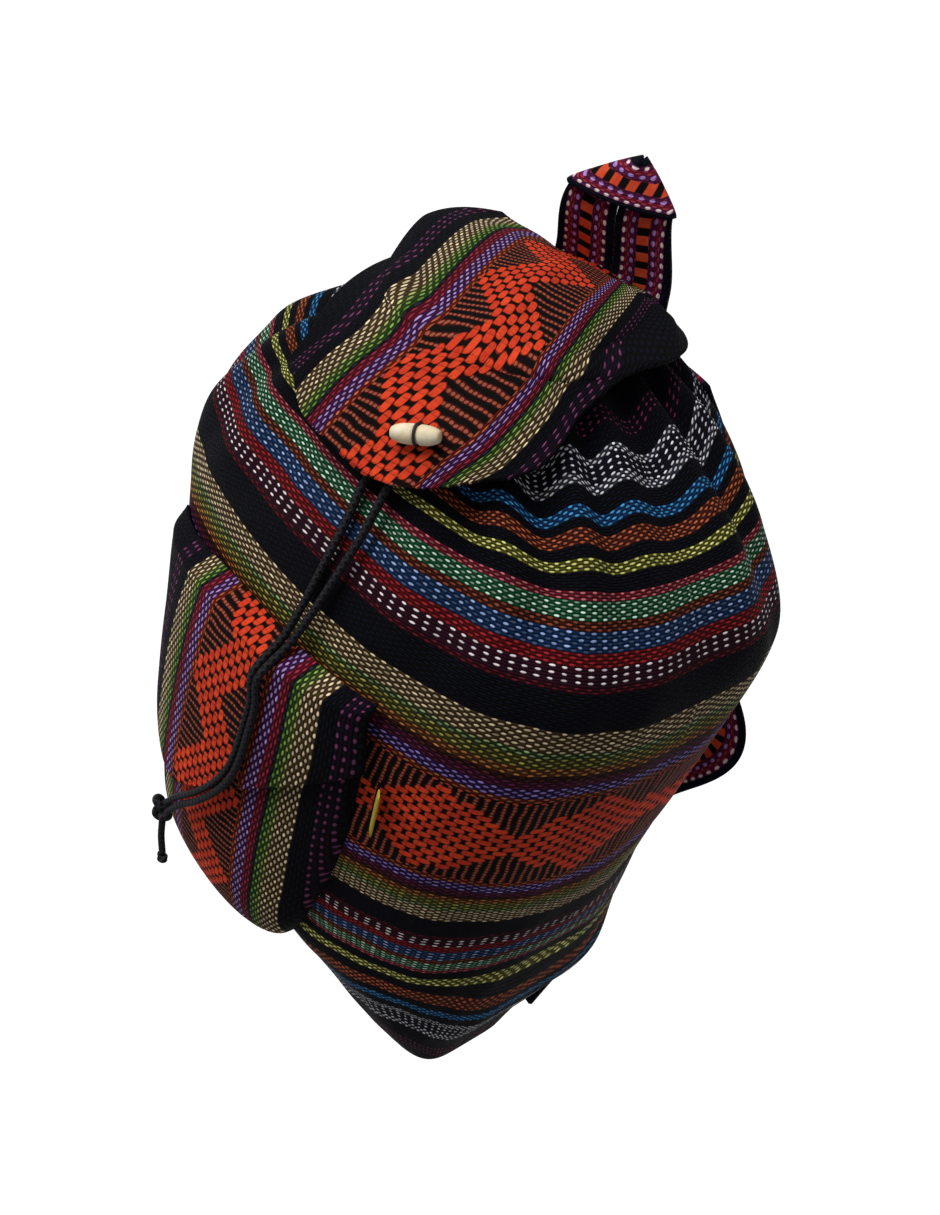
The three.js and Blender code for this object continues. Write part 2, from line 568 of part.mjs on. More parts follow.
// Tail below the knot, ending in a small knot of its own.
const tailStart = knotCentre.clone().add(new THREE.Vector3(0.5, 0, -KNOT_SIZE / 2 - GAP));
const tailEnd = tailStart.clone().add(new THREE.Vector3(3, -0.5, -TAIL_LENGTH));
const tailMiddle = tailStart.clone().lerp(tailEnd, 0.5).add(new THREE.Vector3(-1, 0, 0));
add("cord_tail", tube([tailStart, tailMiddle, tailEnd], CORD_DIAMETER * 0.85, 8, 8), BLACK_CORD);
const tailKnot = new THREE.SphereGeometry(TAIL_KNOT_DIAMETER / 2, 12, 9).scale(1, 0.9, 0.8);
const tailKnotCentre = tailEnd.clone().add(new THREE.Vector3(0.3, 0, -TAIL_KNOT_DIAMETER * 0.4 - GAP));
add("tail_knot", tailKnot.translate(...tailKnotCentre.toArray()), BLACK_CORD);

// Folded ribbon tag, blank, held in the seam at the pocket's right side.
const TAG_START = 78.5;
const TAG_HEIGHT = 200;
const tagRow = (x, off) => ({ x, y: bodyFront(x, TAG_HEIGHT) - TAG_THICKNESS - off, z: TAG_HEIGHT, turn: 0, dip: 90, wide: 1 });
const tagRows = [tagRow(TAG_START, 0.4), tagRow(TAG_START + TAG_REACH / 2, 2.4), tagRow(TAG_START + TAG_REACH, 4.5)];
add("side_tag", band(tagRows, TAG_LENGTH, TAG_THICKNESS, 5), TAG_RIBBON);

// The origin is where a hook would sit, in the bend of the hanging loop.
bag.position.set(-LOOP_FOOT.x, -LOOP_FOOT.y, -(LOOP_FOOT.z + LOOP_HEIGHT - 2 * STRAP_THICKNESS));

export default group;
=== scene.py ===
import math

import bmesh
import bpy
import numpy as np
from mathutils import Matrix, Vector


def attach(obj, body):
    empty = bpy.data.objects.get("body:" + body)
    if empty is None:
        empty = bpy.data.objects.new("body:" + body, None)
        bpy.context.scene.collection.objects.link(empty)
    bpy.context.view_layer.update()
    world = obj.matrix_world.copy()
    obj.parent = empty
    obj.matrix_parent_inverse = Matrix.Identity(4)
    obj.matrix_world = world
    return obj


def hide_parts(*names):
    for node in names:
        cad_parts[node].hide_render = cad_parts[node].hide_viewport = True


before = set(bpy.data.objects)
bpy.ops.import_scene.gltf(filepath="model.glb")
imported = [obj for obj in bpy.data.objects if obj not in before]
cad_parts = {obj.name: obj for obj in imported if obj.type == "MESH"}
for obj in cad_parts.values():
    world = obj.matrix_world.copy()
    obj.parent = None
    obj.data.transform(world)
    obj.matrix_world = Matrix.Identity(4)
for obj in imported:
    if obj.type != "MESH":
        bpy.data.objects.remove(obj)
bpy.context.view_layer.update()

# View: the photograph looks down on the bag from its front right corner, with the camera rolled a little.
# Sizes are metres in the row's frame, whose origin is inside the bend of the hanging loop. The bag's own
# point at the middle of its base, which every table below counts from, lies at BASE.
BASE = np.array([0.012, -0.05387, -0.4036])
CAMERA_AZIMUTH = math.radians(43.06)
CAMERA_ELEVATION = math.radians(38.04)
CAMERA_ROLL = math.radians(14.68)
CAMERA_DISTANCE = 0.5832
CAMERA_TARGET = Vector(BASE + np.array([0.00694, 0.0, 0.21131]))
CAMERA_LENS = 36.67

camera_back = Vector((
    math.sin(CAMERA_AZIMUTH) * math.cos(CAMERA_ELEVATION),
    -math.cos(CAMERA_AZIMUTH) * math.cos(CAMERA_ELEVATION),
    math.sin(CAMERA_ELEVATION),
))
level_right = Vector((math.cos(CAMERA_AZIMUTH), math.sin(CAMERA_AZIMUTH), 0))
level_up = camera_back.cross(level_right)
camera_right = level_right * math.cos(CAMERA_ROLL) + level_up * math.sin(CAMERA_ROLL)
camera_up = camera_back.cross(camera_right)
camera = bpy.data.objects.new("camera", bpy.data.cameras.new("camera"))
camera.data.sensor_width = 36
camera.data.lens = CAMERA_LENS
camera.data.clip_start = 0.01
camera.rotation_euler = Matrix((camera_right, camera_up, camera_back)).transposed().to_euler()
camera.location = CAMERA_TARGET + camera_back * CAMERA_DISTANCE
bpy.context.collection.objects.link(camera)
bpy.context.scene.camera = camera

# Floor and light: a white studio with a broad soft light high over the bag and a weak even light from all
# round, so the tops are bright and the undersides fall into shadow.
FLOOR_DROP = 1.1
FLOOR_SIZE = 16
FLOOR_SHIFT = 8.05
WORLD_LIGHT = 0.3
KEY_POWER = 3.2
KEY_SPREAD = math.radians(42)
KEY_DIRECTION = Vector((-0.35, -0.45, 1.0))


def plain_material(name, colour, roughness):
    material = bpy.data.materials.new(name)
    material.use_nodes = True
    shader = material.node_tree.nodes["Principled BSDF"]
    shader.inputs["Base Color"].default_value = (*colour, 1)
    shader.inputs["Roughness"].default_value = roughness
    return material


floor_middle = Vector((-math.sin(CAMERA_AZIMUTH), math.cos(CAMERA_AZIMUTH), 0)) * FLOOR_SHIFT
floor_middle.z = BASE[2] - FLOOR_DROP
bpy.ops.mesh.primitive_plane_add(size=FLOOR_SIZE, location=floor_middle, rotation=(0, 0, CAMERA_AZIMUTH))
floor = bpy.context.active_object
floor.name = "floor"
floor.data.materials.append(plain_material("floor_white", (0.93, 0.93, 0.93), 0.9))
key_light = bpy.data.objects.new("key_light", bpy.data.lights.new("key_light", "SUN"))
key_light.data.energy = KEY_POWER
key_light.data.angle = KEY_SPREAD
key_light.rotation_euler = KEY_DIRECTION.to_track_quat("Z", "Y").to_euler()
bpy.context.collection.objects.link(key_light)
world = bpy.data.worlds.new("studio")
world.use_nodes = True
world.node_tree.nodes["Background"].inputs["Color"].default_value = (1, 1, 1, 1)
world.node_tree.nodes["Background"].inputs["Strength"].default_value = WORLD_LIGHT
bpy.context.scene.world = world
bpy.context.scene.view_settings.view_transform = "Standard"

# Sack: two lengths of striped cotton cloth sewn into a bag with a flat bottom, stuffed full and gathered at
# its mouth. The table gives its sections: up is a share of the height, wide of half the width, deep of half
# the depth, back of the depth, and square is 2 for an ellipse and more for a boxier section.
CLOTH = 0.0024
BODY_WALL = 0.0018
GAP = 0.0003
BODY_WIDTH = 0.276
BODY_DEPTH = 0.218
BODY_HEIGHT = 0.362
FOLD_DEPTH = 0.009
FOLDS_START = 0.65


def table(columns, rows):
    """Rows of a table, each with its values under the names of its columns."""
    return [dict(zip(columns.split(), row)) for row in rows]


BODY_SECTIONS = table("up wide deep back square", [
    (0.0, 0.775, 0.33, -0.11, 5.2),
    (0.064, 0.8, 0.5, -0.097, 4.3),
    (0.133, 0.845, 0.66, -0.083, 3.4),
    (0.243, 0.872, 0.885, -0.062, 2.8),
    (0.395, 0.913, 0.98, -0.037, 2.2),
    (0.575, 0.957, 1.0, -0.026, 2.4),
    (0.74, 1.0, 0.96, -0.018, 2.6),
    (0.856, 0.86, 0.81, -0.012, 2.6),
    (0.939, 0.6, 0.67, -0.007, 2.5),
    (1.0, 0.33, 0.46, -0.004, 2.3),
])
# Folds that the draw cord gathers: turn is the place round the sack from its right side towards its front
# and spread the half width, both in degrees; depth is a share of FOLD_DEPTH.
FOLDS = table("turn spread depth", [
    (-2, 7, 0.7),
    (17, 6, 0.55),
    (37, 8, 1.0),
    (58, 7, 0.8),
    (78, 6, 0.6),
    (99, 8, 0.9),
    (121, 7, 0.7),
    (143, 8, 0.9),
    (166, 7, 0.7),
    (190, 8, 0.85),
    (212, 8, 0.75),
    (232, 7, 0.7),
    (252, 8, 0.85),
    (270, 6, 0.6),
    (288, 8, 0.85),
    (312, 8, 0.75),
    (336, 7, 0.85),
])
# Where the cloth's stripes lie on the stuffed sack: height, and distance over the cloth from the middle of
# the orange band, both in metres.
CLOTH_LINES = table("height cloth", [
    (0.0, -0.206),
    (0.0475, -0.178),
    (0.061, -0.168),
    (0.073, -0.153),
    (0.0855, -0.142),
    (0.097, -0.1305),
    (0.108, -0.111),
    (0.1235, -0.088),
    (0.139, -0.063),
    (0.171, -0.0265),
    (0.2, 0.0),
    (0.227, 0.0265),
    (0.266, 0.063),
    (0.287, 0.088),
    (0.306, 0.111),
    (0.32, 0.1305),
    (0.344, 0.17),
    (0.362, 0.206),
])
BOTTOM_SAG = 0.021
STRIPE_DIP = 0.006
CORNER_BULGE = 0.013
SIDE_BULGE = 0.0025
CORNER_HEIGHT = 0.052
CORNER_RISE = 0.024
CORNER_TURN = -40
CORNER_SPREAD = 26
# Uneven stuffing and slack in the cloth, as the products of two waves: each has its beats round the sack, its
# beats up its height and its start in radians, and the height of the product is in metres.
LUMPS = table("round rise start round_too rise_too start_too height", [
    (3, 5, 0.6, 0, 7, 1.1, 0.0016),
    (8, -9, 2.0, -1, 13, 0.4, 0.0009),
    (21, 17, 0, 4, 31, 0, 0.0004),
])
FOLDS_FULL = 0.97
SAG_FADE = (0.062, 0.105)
DIP_FADE = (0.3, 0.345)
WIDEST = 0.2
BODY_ROWS = 150
BODY_COLUMNS = 320


def smooth_step(value, low, high):
    t = np.clip((value - low) / (high - low), 0, 1)
    return t * t * (3 - 2 * t)


def curve(rows, key, column, at):
    """Smooth value of one column of a table, by monotone cubic pieces between its rows."""
    keys = np.array([row[key] for row in rows], float)
    values = np.array([row[column] for row in rows], float)
    steps = np.diff(keys)
    slopes = np.diff(values) / steps
    before, after = slopes[:-1], slopes[1:]
    turning = before * after > 0
    inner = np.where(turning, 2 * before * after / np.where(turning, before + after, 1), 0)
    tangents = np.concatenate([slopes[:1], inner, slopes[-1:]])
    x = np.clip(at, keys[0], keys[-1])
    i = np.clip(np.searchsorted(keys, x, side="right") - 1, 0, len(steps) - 1)
    t = (x - keys[i]) / steps[i]
    rise = t * t * (3 - 2 * t)
    lean = steps[i] * t * (1 - t) * ((1 - t) * tangents[i] - t * tangents[i + 1])
    return values[i] + (values[i + 1] - values[i]) * rise + lean


def signed_power(value, power):
    return np.sign(value) * np.abs(value) ** power


def section(height):
    up = np.asarray(height, float) / BODY_HEIGHT
    half_width = curve(BODY_SECTIONS, "up", "wide", up) * BODY_WIDTH / 2
    half_depth = curve(BODY_SECTIONS, "up", "deep", up) * BODY_DEPTH / 2
    middle = curve(BODY_SECTIONS, "up", "back", up) * BODY_DEPTH
    return half_width, half_depth, middle, curve(BODY_SECTIONS, "up", "square", up)


def body_point(angle, height):
    """Point of the smooth sack; the angle runs from its right side towards its front."""
    angle, height = np.broadcast_arrays(angle, height)
    a, b, y, n = section(height)
    x = a * signed_power(np.cos(angle), 2 / n)
    return np.stack([x, y - b * signed_power(np.sin(angle), 2 / n), height], -1)


def unit(vectors):
    return vectors / np.maximum(np.linalg.norm(vectors, axis=-1, keepdims=True), 1e-12)


def gone(points):
    """Distance gone along a line of points at each of them."""
    return np.concatenate([[0], np.cumsum(np.linalg.norm(np.diff(points, axis=0), axis=1))])


def body_normal(angle, height):
    around = body_point(angle + 0.02, height) - body_point(angle - 0.02, height)
    low = np.maximum(height - 0.001, 0)
    high = np.minimum(height + 0.001, BODY_HEIGHT)
    return unit(np.cross(body_point(angle, high) - body_point(angle, low), around))


def fold_share(angle, sharpness=1.0):
    degrees = np.degrees(angle)
    total = np.zeros_like(degrees)
    for fold in FOLDS:
        away = (degrees - fold["turn"] + 180) % 360 - 180
        total += fold["depth"] * np.exp(-((away * sharpness / fold["spread"]) ** 2))
    return total


def lumps(angle, height):
    """How far the cloth stands out from the smooth sack."""
    h = height / BODY_HEIGHT
    waves = 0
    for lump in LUMPS:
        wave = np.sin(lump["round"] * angle + lump["rise"] * h + lump["start"])
        wave_too = np.sin(lump["round_too"] * angle + lump["rise_too"] * h + lump["start_too"])
        waves = waves + wave * wave_too * lump["height"]
    away = (np.degrees(angle) - CORNER_TURN + 180) % 360 - 180
    above = height - CORNER_HEIGHT
    corner = CORNER_BULGE * np.exp(-((away / CORNER_SPREAD) ** 2) - (above / CORNER_RISE) ** 2)
    side = smooth_step(np.cos(angle), 0.55, 0.9) * smooth_step(h, 0.1, 0.3) * (1 - smooth_step(h, 0.75, 0.92))
    return waves * smooth_step(h, 0.0, 0.12) + side * SIDE_BULGE + corner


def smooth_object(name, points, faces, uvs=None):
    """Object with a smooth mesh, its points counted from the bag's base, and its map in metres of cloth."""
    mesh = bpy.data.meshes.new(name)
    mesh.from_pydata((np.asarray(points) + BASE).tolist(), [], faces)
    if uvs is not None:
        layer = mesh.uv_layers.new(name="cloth")
        layer.data.foreach_set("uv", np.asarray(uvs).ravel())
    mesh.polygons.foreach_set("use_smooth", [True] * len(mesh.polygons))
    thing = bpy.data.objects.new(name, mesh)
    bpy.context.collection.objects.link(thing)
    return thing


def closed_cloth(name, outer, inner, u, v, wrap=False, floors=()):
    """Mesh between two grids of points, with a UV map of metres along and across the stripes."""
    rows, columns = outer.shape[:2]
    count = rows * columns
    spans = columns if wrap else columns - 1
    i, j = np.meshgrid(np.arange(rows - 1), np.arange(spans), indexing="ij")
    i, j = i.ravel(), j.ravel()

    def quads(width, right):
        low, high = i * width, (i + 1) * width
        return np.stack([low + j, low + right, high + right, high + j], 1)

    face = quads(columns, (j + 1) % columns)
    place = quads(columns + 1, j + 1)
    faces = [face, count + face[:, [1, 0, 3, 2]]]
    spots = [place, place[:, [1, 0, 3, 2]]]

    def rim(low, high, low_place, high_place):
        faces.append(np.stack([low, high, count + high, count + low], 1))
        spots.append(np.stack([low_place, high_place, high_place, low_place], 1))

    span = np.arange(spans)
    top, top_place = (rows - 1) * columns, (rows - 1) * (columns + 1)
    rim(top + span, top + (span + 1) % columns, top_place + span, top_place + span + 1)
    if not len(floors):
        rim((span + 1) % columns, span, span + 1, span)
    if not wrap:
        last = columns - 1
        low, high = np.arange(rows - 1) * columns, np.arange(1, rows) * columns
        low_place, high_place = np.arange(rows - 1) * (columns + 1), np.arange(1, rows) * (columns + 1)
        rim(low, high, low_place, high_place)
        rim(high + last, low + last, high_place + last, low_place + last)
    faces = [tuple(q) for q in np.concatenate(faces).tolist()]
    spots = [tuple(q) for q in np.concatenate(spots).tolist()]
    points = np.concatenate([np.reshape(part, (-1, 3)) for part in (outer, inner, np.array(floors, float))])
    if len(floors):
        for s in range(columns):
            nxt = (s + 1) % columns
            faces += [(nxt, s, 2 * count), (count + s, count + nxt, 2 * count + 1)]
            spots += [(s + 1, s, s), (s, s + 1, s)]
    order = np.concatenate([np.array(q) for q in spots])
    flat = [np.broadcast_to(values, (rows, columns + 1)).ravel()[order] for values in (u, v)]
    return smooth_object(name, points, faces, np.stack(flat, 1))


def dress(thing, node, material):
    """Gives a finished piece its material, hangs it under the root body and hides the CAD node it stands in
    for.
    """
    thing.data.materials.append(material)
    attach(thing, "root")
    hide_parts(node)


def extend(grid_values):
    """One more column for the place past the last one, as a wrapped grid's UVs need."""
    return np.concatenate([grid_values, 2 * grid_values[:, -1:] - grid_values[:, -2:-1]], 1)


body_angle = -2 * np.pi * np.arange(BODY_COLUMNS) / BODY_COLUMNS
body_height = BODY_HEIGHT * (np.arange(BODY_ROWS) / (BODY_ROWS - 1)) ** 0.94
angles, heights = np.meshgrid(body_angle, body_height)


def body_layer(inset):
    rise = smooth_step(heights / BODY_HEIGHT, FOLDS_START, FOLDS_FULL)
    depth = rise * FOLD_DEPTH * fold_share(angles, 1.1) + inset - lumps(angles, heights)
    place = np.maximum(heights, inset)
    return body_point(angles, place) - body_normal(angles, place) * depth[..., None]


body_outer = body_layer(0)
body_inner = body_layer(BODY_WALL)
body_outer[0, :, 2] = 0
body_inner[0, :, 2] = BODY_WALL
body_inner[-1, :, 2] = body_outer[-1, :, 2]
ring = body_point(np.append(body_angle, body_angle[0]), WIDEST)
ring_length = gone(ring)
wide_angles = np.append(body_angle, body_angle[0] - 2 * np.pi)[None, :]
wide_heights = body_height[:, None]
corner_free = np.cos(2 * wide_angles) ** 2
sagged = wide_heights + BOTTOM_SAG * corner_free * (1 - smooth_step(wide_heights, *SAG_FADE))
dipped = sagged + STRIPE_DIP * fold_share(wide_angles) * smooth_step(wide_heights, *DIP_FADE)
body_v = curve(CLOTH_LINES, "height", "cloth", dipped)
floor_y = float(section(0)[2])
bag_body = closed_cloth(
    "sack",
    body_outer,
    body_inner,
    ring_length[None, :],
    body_v,
    wrap=True,
    floors=[(0, floor_y, 0), (0, floor_y, BODY_WALL)],
)

# Woven cloth: rows of short floats over a darker ground, dark partly from its own yarn colours and partly
# from painted shade between the rows. Each stripe has a bright yarn and a ground colour, and odd says how
# much of the bright yarn its odd rows show. The widest stripe carries a figure of thick orange floats between
# black bars and columns of small beads. Colours are linear.
ROW_PITCH = 0.0013
FLOAT_LENGTH = 0.0054
THICK_PITCH = 0.0029
THICK_LENGTH = 1.4 * FLOAT_LENGTH
BAR_PITCH = THICK_LENGTH / 2
BEAD_PITCH = 0.0018
NAVY = (0.0012, 0.0014, 0.005)
NAVY_FLOAT = (0.003, 0.0035, 0.012)
BLACK = (0.003, 0.0015, 0.0015)
ORANGE = (0.76, 0.066, 0.018)
ORANGE_RED = (0.5, 0.03, 0.012)
BEAD = (0.32, 0.075, 0.04)
BEAD_GROUND = (0.05, 0.005, 0.004)
FIBRE_SCALE = 420.0
FIBRE_RELIEF = 0.22
CLOTH_RELIEF = 0.0009
CLOTH_ROUGHNESS = 0.9
SLACK_SHIFT = 0.0016
ROW_JITTER = 0.0007
FLOAT_JITTER = 0.0022
# GROUND_SHADE dims the ground between the floats, most at each row's edges: painted shade between the rows.
GROUND_SHADE = (0.03, 0.4)
PATCH_RANGE = (0.68, 0.5)


def stripe(start, yarn=NAVY_FLOAT, ground=NAVY, odd=1.0):
    return {"start": start, "yarn": yarn, "ground": ground, "odd": odd}


BODY_STRIPES = [
    stripe(0.0, ORANGE, BLACK),
    stripe(0.0265, (0.5, 0.17, 0.05), (0.2, 0.014, 0.01), 0.6),
    stripe(0.0295, (0.4, 0.28, 0.75), (0.045, 0.01, 0.12), 0.7),
    stripe(0.0345, (0.16, 0.02, 0.08), (0.08, 0.006, 0.03), 0.6),
    stripe(0.0378, (0.1, 0.02, 0.015), (0.04, 0.005, 0.006), 0.5),
    stripe(0.0405, (0.6, 0.24, 0.06), (0.16, 0.05, 0.01), 0.6),
    stripe(0.0445, (0.5, 0.44, 0.1), (0.09, 0.085, 0.012), 0.5),
    stripe(0.0495, (0.42, 0.56, 0.26), (0.05, 0.085, 0.02), 0.5),
    stripe(0.0535, (0.98, 0.78, 0.5), (0.12, 0.07, 0.025), 0.65),
    stripe(0.063),
    stripe(0.082, (0.12, 0.008, 0.02), (0.06, 0.003, 0.01)),
    stripe(0.0838, (0.95, 0.84, 0.86), (0.05, 0.006, 0.022), 0.0),
    stripe(0.0918, (0.36, 0.02, 0.026), (0.17, 0.004, 0.007)),
    stripe(0.0975, (0.34, 0.46, 0.75), (0.005, 0.04, 0.15), 0.14),
    stripe(0.1045, (0.3, 0.08, 0.035), (0.09, 0.012, 0.006), 0.7),
    stripe(0.1082, (0.72, 0.95, 0.78), (0.006, 0.13, 0.04), 0.3),
    stripe(0.1162, (0.6, 0.17, 0.19), (0.26, 0.012, 0.03), 0.5),
    stripe(0.1205),
    stripe(0.128, (0.88, 0.85, 0.3), (0.16, 0.16, 0.014), 0.8),
    stripe(0.1335),
    stripe(0.139, (0.55, 0.15, 0.06), (0.14, 0.018, 0.008), 0.8),
    stripe(0.1442),
    stripe(0.149, (0.07, 0.36, 0.72), (0.005, 0.06, 0.2), 0.8),
    stripe(0.155),
    stripe(0.162, (0.9, 0.9, 0.95), (0.06, 0.06, 0.09), 0.8),
    stripe(0.1652, (0.9, 0.9, 0.95), (0.015, 0.012, 0.03), 0.0),
    stripe(0.1745, (0.9, 0.9, 0.95), (0.06, 0.06, 0.09), 0.8),
    stripe(0.178),
    # Painted shade: this magenta check's yarn is dimmed to stand for the shade under the flap, where it runs
    # round the mouth.
    stripe(0.186, (0.2, 0.035, 0.09), (0.012, 0.003, 0.012), 0.0),
    stripe(0.195),
]


class Wire:
    """A value in a material's node tree that sums, products and comparisons can be written with."""

    def __init__(self, tree, socket):
        self.tree = tree
        self.socket = socket

    def feed(self, target, value):
        if isinstance(value, Wire):
            self.tree.links.new(value.socket, target)
        else:
            target.default_value = value

    def node(self, kind, settings, inputs, output=0):
        """Adds any node: its settings by attribute name and its inputs by name or number."""
        made = self.tree.nodes.new(kind)
        for key, value in settings.items():
            setattr(made, key, value)
        for key, value in inputs.items():
            self.feed(made.inputs[key], value)
        return Wire(self.tree, made.outputs[output])

    def maths(self, operation, *others):
        values = dict(enumerate((self, *others)))
        return self.node("ShaderNodeMath", {"operation": operation}, values)

    def __add__(self, other):
        return self.maths("ADD", other)

    __radd__ = __add__

    def __mul__(self, other):
        return self.maths("MULTIPLY", other)

    __rmul__ = __mul__

    def __sub__(self, other):
        return self.maths("SUBTRACT", other)

    def __rsub__(self, other):
        return self * -1 + other

    def __truediv__(self, other):
        return self.maths("DIVIDE", other)

    def __gt__(self, other):
        return self.maths("GREATER_THAN", other)

    def __lt__(self, other):
        return self.maths("LESS_THAN", other)

    def step(self, low, high):
        return self.node(
            "ShaderNodeMapRange",
            {"interpolation_type": "SMOOTHSTEP"},
            {"Value": self, "From Min": low, "From Max": high},
        )

    def scaled(self, factor):
        return self.node("ShaderNodeVectorMath", {"operation": "SCALE"}, {0: self, "Scale": factor})

    def luck(self):
        """A random share that stays the same for the same value."""
        return self.node("ShaderNodeTexWhiteNoise", {"noise_dimensions": "1D"}, {"W": self})

    def mix(self, low, high):
        """Colour that goes from low to high as this value goes from 0 to 1."""
        made = self.tree.nodes.new("ShaderNodeMix")
        made.data_type = "RGBA"
        self.feed(made.inputs[0], self)
        for socket, colour in ((made.inputs[6], low), (made.inputs[7], high)):
            self.feed(socket, colour if isinstance(colour, Wire) else (*colour, 1))
        return Wire(self.tree, made.outputs[2])


def start_material(name):
    """Material with its UV map's two values: metres along and across the stripes."""
    material = bpy.data.materials.new(name)
    material.use_nodes = True
    tree = material.node_tree
    uv = tree.nodes.new("ShaderNodeUVMap")
    uv.uv_map = "cloth"
    parts = tree.nodes.new("ShaderNodeSeparateXYZ")
    tree.links.new(uv.outputs[0], parts.inputs[0])
    return material, Wire(tree, parts.outputs[0]), Wire(tree, parts.outputs[1])


def finish_material(material, colour, roughness, height, relief):
    tree = material.node_tree
    shader = tree.nodes["Principled BSDF"]
    colour.feed(shader.inputs["Base Color"], colour)
    height.feed(shader.inputs["Roughness"], roughness)
    shader.inputs["Specular IOR Level"].default_value = 0.1
    bump = tree.nodes.new("ShaderNodeBump")
    bump.inputs["Distance"].default_value = relief
    tree.links.new(height.socket, bump.inputs["Height"])
    tree.links.new(bump.outputs[0], shader.inputs["Normal"])
    return material


def stripe_ramp(share, reach, stripes, column):
    """Colour ramp with one constant step for each stripe of a cloth; gives its colour and its alpha."""
    made = share.tree.nodes.new("ShaderNodeValToRGB")
    made.color_ramp.interpolation = "CONSTANT"
    marks = made.color_ramp.elements
    marks.remove(marks[1])
    marks[0].position = 0
    marks[0].color = column(stripes[0])
    for stripe in stripes[1:]:
        marks.new(stripe["start"] / reach).color = column(stripe)
    share.feed(made.inputs[0], share)
    return Wire(share.tree, made.outputs[0]), Wire(share.tree, made.outputs[1])


def object_noise(wire, scale, detail):
    place = wire.node("ShaderNodeTexCoord", {}, {}, 3)
    return wire.node("ShaderNodeTexNoise", {}, {"Vector": place, "Scale": scale, "Detail": detail})


def oval(beat, lift, half_length, half_height, soft):
    """Rounded top of one float, 1 on its crown and 0 beyond its outline."""
    along = beat / half_length
    across = lift / half_height
    return 1 - (along * along + across * across).step(1 - soft, 1 + 0.15 * soft)


def cloth_material(name, stripes, figure_half, figure_reach, figure_swing, figure_start, figure_floats):
    """Weave with its stripes and figure. figure_half is half the figure's least width, figure_reach what it
    gains at its widest, figure_swing how far its line sways, and figure_floats the floats in two repeats.
    """
    material, along, across = start_material(name)
    fibre = object_noise(along, FIBRE_SCALE, 3.0)
    slack = object_noise(along, 24.0, 2.0)
    jitter = object_noise(along, 150.0, 2.0)
    wavy = across + (slack - 0.5) * SLACK_SHIFT + (jitter - 0.5) * ROW_JITTER
    along = along + (jitter - 0.5) * FLOAT_JITTER
    row = (wavy.maths("ABSOLUTE") / ROW_PITCH).maths("FLOOR")
    odd = (row * 0.5).maths("FRACT") * 2
    step = along / FLOAT_LENGTH + odd * 0.5
    beat = step.maths("FRACT") - 0.5
    lift = (wavy.maths("ABSOLUTE") / ROW_PITCH).maths("FRACT") - 0.5
    dash = oval(beat, lift, 0.15 + fibre * 0.2, 0.45, 0.55)
    crown = 1 - lift * lift * 3.4
    reach = stripes[-1]["start"] * 1.1
    share = (row + 0.5) * (ROW_PITCH / reach)
    yarn, odd_share = stripe_ramp(share, reach, stripes, lambda stripe: (*stripe["yarn"], stripe["odd"]))
    ground, _ = stripe_ramp(share, reach, stripes, lambda stripe: (*stripe["ground"], 1))
    luck = (row * 7.7 + step.maths("FLOOR") * 1.3).luck()
    shown = dash * (1 - odd * (1 - odd_share)) * (0.55 + luck * 0.45)
    # Painted shade: the ground is dimmed, most at each row's edges, where the rows dip between each other.
    dim_ground = ground.scaled(crown * GROUND_SHADE[1] + GROUND_SHADE[0])
    fine_colour = shown.mix(dim_ground, yarn)
    fine_height = dash * (0.5 + odd * -0.2) + crown * 0.3

    thick_row = (wavy / THICK_PITCH + 0.5).maths("FLOOR")
    thick_odd = (thick_row * 0.5).maths("FRACT").maths("ABSOLUTE") * 2
    thick_step = (along / THICK_LENGTH + thick_odd * 0.5 + 0.5).maths("FLOOR") - thick_odd * 0.5
    thick_beat = along / THICK_LENGTH - thick_step
    thick_lift = wavy / THICK_PITCH - thick_row
    blunt = thick_beat / 0.43
    tall = thick_lift / 0.6
    square = blunt * blunt
    thick = 1 - (square * square + tall * tall).step(0.45, 1.02)
    wave = ((thick_step * (2 / figure_floats) + figure_start).maths("FRACT") * 2 - 1).maths("ABSOLUTE")
    off_line = (thick_row * THICK_PITCH - (wave * 2 - 1) * figure_swing).maths("ABSOLUTE")
    in_figure = (off_line - wave * figure_reach) < figure_half
    bead_beat = (along / BAR_PITCH).maths("FRACT") - 0.5
    bead_lift = (wavy / BEAD_PITCH).maths("FRACT") - 0.5
    bead = oval(bead_beat, bead_lift, 0.2, 0.46, 0.6)
    column = 1 - bead_beat.maths("ABSOLUTE").step(0.22, 0.3)
    thick_luck = (thick_row * 5.3 + thick_step * 2.9).luck()
    comb = bead.mix(column.mix(BLACK, BEAD_GROUND), BEAD)
    float_yarn = (thick_luck * 0.6 + fibre * 0.9 - 0.25).mix(ORANGE_RED, ORANGE)
    floats = thick * in_figure
    band_colour = floats.mix(comb, float_yarn)
    band_height = floats * 1.3 + column * 0.3 + bead * 0.2

    in_band = wavy.maths("ABSOLUTE") < stripes[1]["start"]
    colour = in_band.mix(fine_colour, band_colour)
    height = in_band * band_height + (1 - in_band) * fine_height + fibre * FIBRE_RELIEF
    # The colour is scaled lighter and darker in broad patches by the slack noise that also sways the rows.
    patchy_colour = colour.scaled(slack * PATCH_RANGE[1] + PATCH_RANGE[0])
    return finish_material(material, patchy_colour, CLOTH_ROUGHNESS, height, CLOTH_RELIEF)


body_cloth = cloth_material(
    "body_cloth",
    BODY_STRIPES,
    figure_half=0.0055,
    figure_reach=0.0205,
    figure_swing=0.0,
    figure_start=0.25,
    figure_floats=17,
)
dress(bag_body, "bag_body", body_cloth)

